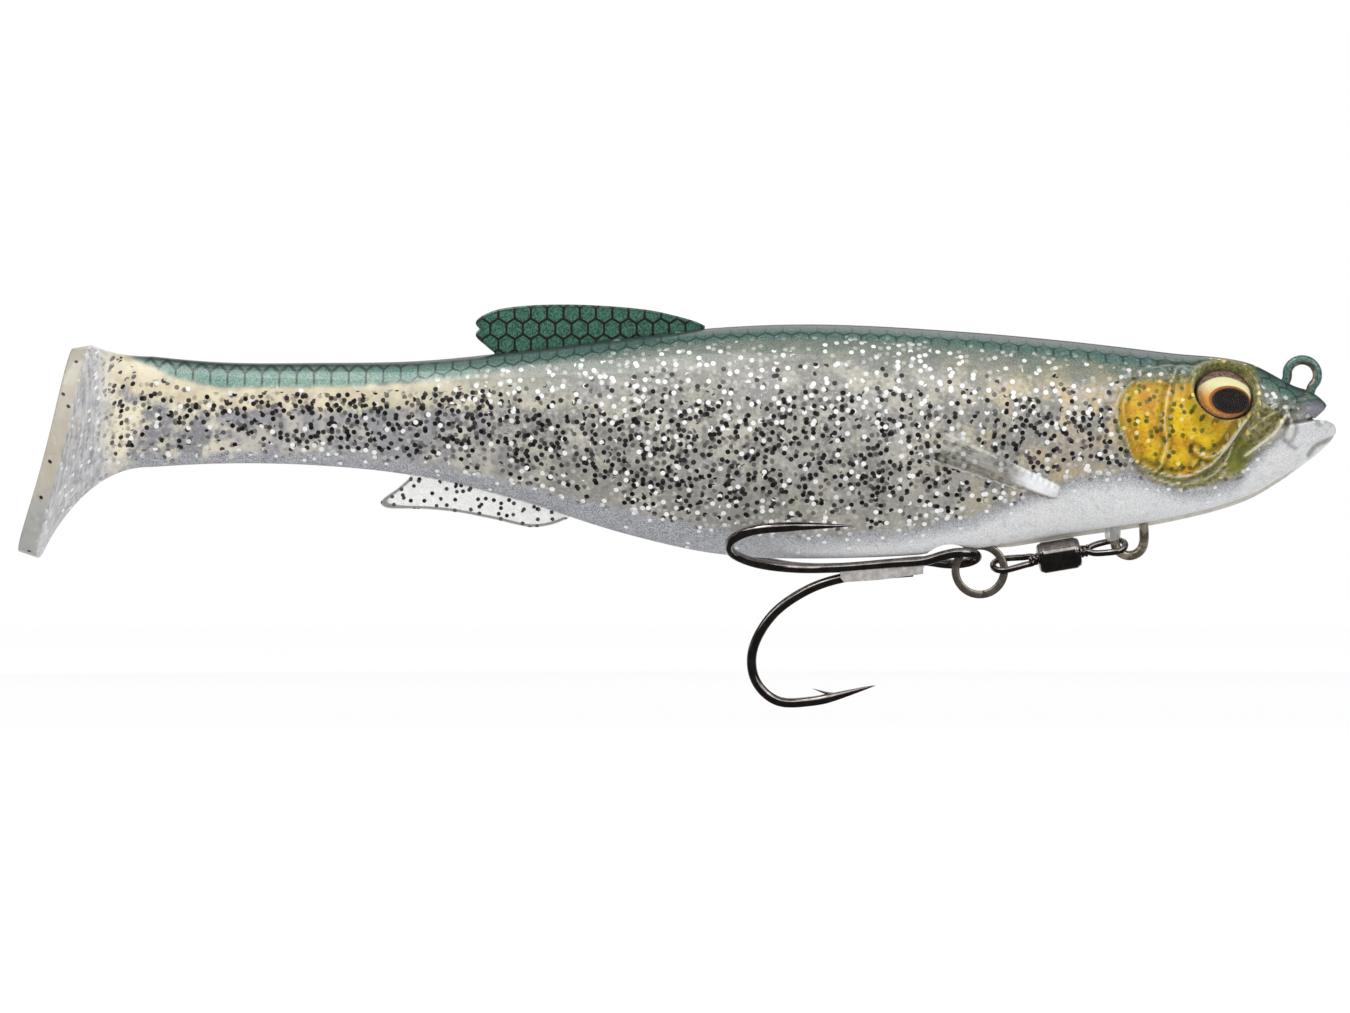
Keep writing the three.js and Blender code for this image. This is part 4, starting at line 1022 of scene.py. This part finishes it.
def build_fins():
    foot = [(x, between(BACK, x)[0] - 0.7) for x in np.linspace(-92.5, -123.9, 14)]
    edge = [(-123.9, 3.6), (-125.6, 5.0), (-126.9, 6.3), (-126.3, 7.2), (-126.9, 8.15), (-124.6, 9.6),
            (-120.5, 10.35), (-111.7, 10.6), (-101.2, 9.85), (-97.4, 9.1), (-93.5, 8.0), (-92.2, 7.4)]
    fin_plate("fin_dorsal", foot, catmull(edge, 8), 1.5, 0.35, green_fin_material(), "back_fin", "dorsal_fin")
    foot = [(x, between(BELLY, x)[0] + 0.6) for x in np.linspace(-112.6, -136.9, 12)]
    edge = [(-136.9, -15.6), (-139.0, -17.4), (-141.6, -19.5), (-141.0, -20.0), (-135.5, -20.2),
            (-130.2, -20.7), (-124.0, -21.9), (-118.8, -23.0), (-115.5, -22.6), (-113.0, -21.6)]
    fin_plate("fin_anal", foot, catmull(edge, 8), 1.1, 0.3, clear_fin_material(), "belly_fin", "anal_fin")


# ================================ eyes ================================

def at_eye(points, side):
    """Local eye points (right, up, out) in millimetres, in place on the head."""
    seat, out = eye_frame(side)
    right = side * np.cross(out, [0, 0, 1])
    right /= np.linalg.norm(right)
    up = side * np.cross(right, out)
    return seat + points[:, :1] * right + points[:, 1:2] * up + points[:, 2:] * out


def dome(radius, low, rise, rings=14, squash=1.0, centre=(0, 0)):
    """Points and faces of a closed dome with a flat back."""
    sides = 56
    cos, sin = circle(sides)
    points = []
    for t in np.linspace(0, math.pi / 2, rings, endpoint=False):
        reach = radius * math.cos(t)
        height = np.full(sides, low + rise * math.sin(t))
        points.append(np.column_stack([centre[0] + reach * cos, centre[1] + reach * squash * sin, height]))
    body = np.vstack(points + [[[*centre, low + rise]]])
    hub = len(body) - 1
    ring = range((rings - 1) * sides, rings * sides)
    return body, tube_faces(rings, sides, last_cap=False) + [
        [j, k, hub] for j, k in zip(ring, [*ring[1:], ring[0]])]


def build_eyes():
    iris, black = iris_material(), pupil_material()
    resin = clear_material("eye_resin", 0.003, (120, 110, 96), (160, 150, 136), 0.03, 0.16, 0.35,
                           Roughness=0.04, Coat_Weight=0.0, Specular_IOR_Level=0.6)
    place = (PUPIL["right"], PUPIL["up"])
    pupil_dome = dome(PUPIL["radius"], -0.95, 0.75, squash=PUPIL["squash"], centre=place)
    for side, name in ((-1, "right"), (1, "left")):
        for title, (local, faces), material, node, slot in (
            ("iris_", dome(EYE["radius"], -1.1, 0.5), iris, "eye_disc_", "iris"),
            ("pupil_", pupil_dome, black, "eye_pupil_", "pupil"),
            ("lens_", dome(EYE["radius"], -0.5, 2.0, rings=18), resin, "eye_lens_", "lens"),
        ):
            piece = weld(make_mesh(title + name, at_eye(local, side), faces, [("eye", local)]), 0.001)
            place_piece(piece, material, "trunk", slot, node + name)


# ================================ wire hardware ================================

def ring_point(circle_at, angle):
    """A point of a wire loop in the fish's middle plane."""
    turn = math.radians(angle)
    return (circle_at["x"] + circle_at["radius"] * math.cos(turn), 0,
            circle_at["z"] + circle_at["radius"] * math.sin(turn))


def harness_line():
    front, rear = HANGER["x"] + HANGER["radius"], HANGER["x"] - HANGER["radius"]
    points = [(-4.2, 0, -4.2), (-3.1, 0, -1.9)]
    points += [ring_point(LINE_TIE, angle) for angle in range(190, -51, -30)]
    points += [(0.6, 0, -3.6), (-4, 0, -5.9), (-14, 0, -11.5), (-21.5, 0, -16.5),
               (front - 0.1, 0, -20.5), (front, 0, -23.5)]
    points += [ring_point(HANGER, angle) for angle in range(0, -181, -30)]
    points += [(rear, 0, -22.5), (rear - 1.0, 0, -19.9), (BALLAST["x"] + 10.5, 0, BALLAST["z"]),
               (BALLAST["x"], 0, BALLAST["z"]), (BALLAST["x"] - BALLAST["half"] - 2, 0, BALLAST["z"])]
    return resample(catmull(points), 260)


def on_swivel(points):
    """Puts points in place that have the swivel's axis along x."""
    roll, tilt = math.radians(SWIVEL["roll"]), math.radians(SWIVEL["tilt"])
    x, y, z = points.T
    y, z = y * math.cos(roll) - z * math.sin(roll), y * math.sin(roll) + z * math.cos(roll)
    x, z = x * math.cos(tilt) - z * math.sin(tilt), x * math.sin(tilt) + z * math.cos(tilt)
    return np.column_stack([x + SWIVEL["x"], y, z + SWIVEL["z"]])


def swivel_eye(end):
    """A wire eye with its stem, the wire's free end wound round it, and the head inside the barrel."""
    gauge = SWIVEL["wire"]
    loop = [(3.3, 0.5, 0.32), (4.2, 0.62, -0.2), (5.4, 1.15, 0)]
    for angle in range(105, -106, -30):
        turn = math.radians(angle)
        loop.append((SWIVEL["loop_at"] + SWIVEL["loop"] * math.cos(turn), SWIVEL["loop"] * math.sin(turn), 0))
    loop += [(5.4, -1.15, 0), (4.2, -0.62, 0.2), (3.3, -0.5, -0.32)]
    stem = np.array([(0.4, 0, 0), (2.0, 0, 0), (3.4, 0, 0)])
    turns = np.linspace(0, 2.2 * TURN, 60)
    coil = np.column_stack([3.15 + turns / TURN * 0.62, 0.62 * np.cos(turns), 0.62 * np.sin(turns)])
    head, faces = lathe([(0.0, 0.3), (1.1, 0.35), (1.25, 0.7), (1.1, 1.25), (0.0, 1.3)], 24)
    points, faces = join_parts([
        sweep(resample(catmull(loop), 90), gauge, 14), sweep(resample(stem, 8), gauge, 14),
        sweep(coil, 0.34, 10), (head[:, [2, 0, 1]], faces),
    ])
    return on_swivel(points * [end, end, 1]), faces


def swivel_barrel():
    radius, half = SWIVEL["radius"], SWIVEL["half"]
    end = [(0.8, half - 0.2), (1.2, half), (radius - 0.55, half - 0.04), (radius - 0.3, half - 0.2),
           (radius - 0.16, half - 0.5), (radius - 0.14, half - 0.62), (radius - 0.01, half - 0.72),
           (radius, half - 0.9)]
    bore = [(0.8, 2.0), (1.65, 1.9), (1.65, -1.9), (0.8, -2.0), (0.8, -half + 0.2)]
    points, faces = lathe([(r, -h) for r, h in end] + [(radius, 0.0)] + end[::-1] + bore, 56)
    return on_swivel(points[:, [2, 0, 1]]), faces


def split_ring():
    """Two coils of a wire with a squarish section; it steps from one coil to the other half way along."""
    sides, steps = 16, 200
    turns = np.radians(-80) + np.linspace(0, 2 * TURN - math.radians(8), steps)
    shift = RING["pitch"] * (smoothstep(0.42, 0.58, np.linspace(0, 1, steps)) - 0.5)
    across, deep = (np.copysign(np.abs(way) ** 0.6, way) for way in circle(sides))
    points = []
    for turn, y in zip(turns, shift):
        out = np.array([math.cos(turn), 0, math.sin(turn)])
        reach = (RING["radius"] + RING["radial"] * across)[:, None] * out
        points.append([RING["x"], y, RING["z"]] + reach + RING["axial"] * deep[:, None] * [0, 1, 0])
    return np.vstack(points), tube_faces(steps, sides)


SLOPE = math.radians(HOOK_SLOPE)
HOOK_ALONG = np.array([-math.cos(SLOPE), 0, -math.sin(SLOPE)])
HOOK_UP = np.array([-math.sin(SLOPE), 0, math.cos(SLOPE)])


def on_hook(run, up, side):
    """A point so far along the hook's shank from its eye, above it and beside it."""
    return np.array([HOOK_EYE["x"], side, HOOK_EYE["z"]]) + HOOK_ALONG * run + HOOK_UP * up


def prong(way, path=BEND):
    """Points of a prong, from places along its shank and depths below it."""
    turn = math.radians(way["angle"])
    down, across = math.cos(turn), -math.sin(turn)
    return [on_hook(way["bend_at"] + run, way["up"] + depth * down, way["side"] + depth * across)
            for run, depth in path]


def barb(way):
    """A thin cut barb on the inside of the prong, pointing back towards the bend."""
    line = resample(catmull(prong(way, [(1.0, 18.0), (2.6, 17.55), (4.6, 16.7)])), 12)
    return sweep(line, 0.34, 10, scale=np.linspace(1.0, 0.08, 12))


def eye_point(degrees):
    roll, turn = math.radians(HOOK_EYE["roll"]), math.radians(degrees)
    reach = HOOK_EYE["half_width"] * math.sin(turn)
    return on_hook(-HOOK_EYE["half_length"] * math.cos(turn), -reach * math.sin(roll), reach * math.cos(roll))


def needle(share, reach):
    """Thins a wire to a needle point over the given share of its length."""
    return 0.03 + 0.97 * np.clip(share / reach, 0, 1) ** 0.75


def twin_prongs():
    """One wire: the near prong, its shank, the eye, the other shank and the far prong."""
    def half(side, way):
        shank = [on_hook(run, 0, way["side"]) for run in (10, way["bend_at"] - 3)]
        return [eye_point(side * 90), eye_point(side * 130), on_hook(5.2, 0, way["side"] + 0.05 * side),
                *shank, *prong(way)]
    front = [eye_point(-45), eye_point(0), eye_point(45)]
    line = resample(catmull(half(-1, NEAR)[::-1] + front + half(1, FAR)), 340)
    share = np.linspace(0, 1, len(line))
    scale = needle(np.minimum(share, 1 - share), 0.072)
    return join_parts([sweep(line, HOOK_WIRE, 18, scale), barb(NEAR), barb(FAR)])


def third_prong():
    shank = [on_hook(run, LOWER["up"], 0) for run in (7, 12, LOWER["bend_at"] - 2)]
    line = resample(catmull(shank + prong(LOWER)), 160)
    scale = needle(1 - np.linspace(0, 1, len(line)), 0.145)
    return join_parts([sweep(line, HOOK_WIRE, 18, scale), barb(LOWER)])


def braze_plate():
    """Bright braze between the wires, thinner than they are, with a step at its front end."""
    outline = np.array([(4.3, 0.2), (4.8, -0.4), (5.4, -1.0), (5.5, -1.95), (12.0, -2.36), (17.7, -2.3),
                        (18.2, -1.6), (18.2, 0.1), (12.0, 0.2)])
    half, round_off = 1.18, 0.14
    centre = outline.mean(axis=0)
    layers = ((-half, 0.96), (-half + round_off, 1.0), (half - round_off, 1.0), (half, 0.96))
    points = [on_hook(run, up, side) for side, shrink in layers
              for run, up in centre + (outline - centre) * [1, shrink]]
    return np.array(points), tube_faces(len(layers), len(outline))


def hanger_nub():
    """A small clear boss of the moulding, behind the hanger."""
    points, faces = lathe([(0.0, -1.25), (0.8, -1.1), (1.2, -0.5), (1.25, 0.3), (1.2, 3.0), (0.0, 3.1)], 28)
    return points + [HANGER["x"] - HANGER["radius"] - 0.3, 0, -24.3], faces


def build_hardware():
    nickel = metal_material("black_nickel", (142, 134, 132), (176, 168, 162), 0.12)
    ring_metal = metal_material("ring_nickel", (150, 140, 130), (184, 172, 160), 0.26, 0.85)
    silver = metal_material("braze_silver", (186, 182, 178), (222, 218, 214), 0.42, 0.3)
    lead = metal_material("cast_lead", (76, 78, 82), (112, 114, 118), 0.55)
    plated = metal_material("magnet_plate", (168, 170, 174), (198, 200, 204), 0.25)
    nub = clear_material("clear_nub", 0.0009, (170, 168, 160), (240, 240, 238), 0.45, 0.45, 0.4,
                         Roughness=0.08, Coat_Weight=0.5)
    harness = sweep(harness_line(), HARNESS_RADIUS)
    for name, shape, material, body, slot, nodes in (
        ("wire_harness", harness, painted_wire_material(), "trunk", "harness", ["harness_wire"]),
        ("front_eye", swivel_eye(1), nickel, "swivel_front", "hardware", ["swivel_front_eye"]),
        ("rear_eye", swivel_eye(-1), nickel, "swivel_rear", "hardware", ["swivel_rear_eye"]),
        ("barrel", swivel_barrel(), nickel, "barrel", "hardware", ["swivel_barrel"]),
        ("ring", split_ring(), ring_metal, "ring", "ring", ["split_ring"]),
        ("twin_prongs", twin_prongs(), nickel, "hook", "hardware", ["treble_twin_prongs"]),
        ("third_prong", third_prong(), nickel, "hook", "hardware", ["treble_third_prong"]),
        ("braze", braze_plate(), silver, "hook", "hardware", []),
        ("hanger_nub", hanger_nub(), nub, "trunk", "body", []),
    ):
        piece = weld(make_mesh(name, *shape, smooth=name != "braze"))
        place_piece(piece, material, body, slot, *nodes)
    for node, material in (("ballast_weight", lead), ("belly_magnet", plated)):
        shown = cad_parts[node].data.materials
        shown.clear()
        shown.append(material)


# ================================ stage ================================

def reflection_tent():
    """What glossy surfaces mirror: a dark studio, one soft window high in front, a low glow behind."""
    slopes = np.linspace(-math.pi / 2, math.pi / 2, 24)
    tent = make_mesh("reflection_tent", *lathe([(TENT * math.cos(t), TENT * math.sin(t)) for t in slopes]))
    r = Recipe("studio_reflections", (0, 0, 0))
    _, behind, height = r.parts(r.position())
    window = r.band(height, 0.8, 1.0) * r.band(height, 1.6, 1.4) * r.band(behind, 0.3, -0.3)
    glow = r.band(behind, 0.8, 1.3) * r.band(height, -1.2, -0.9) * r.band(height, 0.55, 0.25)
    material = r.finish(Specular_IOR_Level=0.0, Emission_Color=(1, 1, 1, 1),
                        Emission_Strength=0.04 + 1.8 * window + 0.75 * glow)
    tent.data.materials.append(material)
    for ray in ("camera", "diffuse", "transmission", "volume_scatter", "shadow"):
        setattr(tent, "visible_" + ray, False)
    return tent


def build_stage():
    bpy.ops.mesh.primitive_plane_add(size=6, location=(-0.1, 0, -0.11))
    floor = bpy.context.object
    floor.name = "floor"
    floor.visible_glossy = False
    floor.data.materials.append(Recipe("pale_floor", (0.86, 0.86, 0.86, 1)).finish(
        Roughness=0.9, Emission_Color=(1, 1, 1, 1), Emission_Strength=0.12))
    reflection_tent()

    scene = bpy.context.scene
    scene.world = bpy.data.worlds.new("studio")
    scene.world.use_nodes = True
    backdrop = scene.world.node_tree.nodes["Background"].inputs
    backdrop["Color"].default_value = (1, 1, 1, 1)
    backdrop["Strength"].default_value = 1.0

    for name, place, energy, size in (
        ("key", (-0.35, -0.45, 0.8), 3.0, 0.4),
        ("fill", (0.35, -0.6, 0.25), 0.7, 0.4),
        ("back", (-0.1, 0.7, 0.6), 1.5, 0.6),
    ):
        light = bpy.data.lights.new(name, "AREA")
        light.energy = energy
        light.size = size
        obj = bpy.data.objects.new(name, light)
        obj.location = place
        obj.rotation_euler = (LIT_POINT - Vector(place)).to_track_quat("-Z", "Y").to_euler()
        bpy.context.collection.objects.link(obj)

    camera = bpy.data.objects.new("camera", bpy.data.cameras.new("camera"))
    camera.data.lens = 135
    camera.data.sensor_width = 36
    camera.location = (CAMERA["x"] * MM, -CAMERA["away"] * MM, CAMERA["z"] * MM)
    camera.rotation_euler = (math.pi / 2, 0, 0)
    bpy.context.collection.objects.link(camera)
    scene.camera = camera
    scene.view_settings.view_transform = "Standard"


# ================================ assembly ================================

build_stage()
build_skin(skin_material())
build_fins()
build_eyes()
build_hardware()
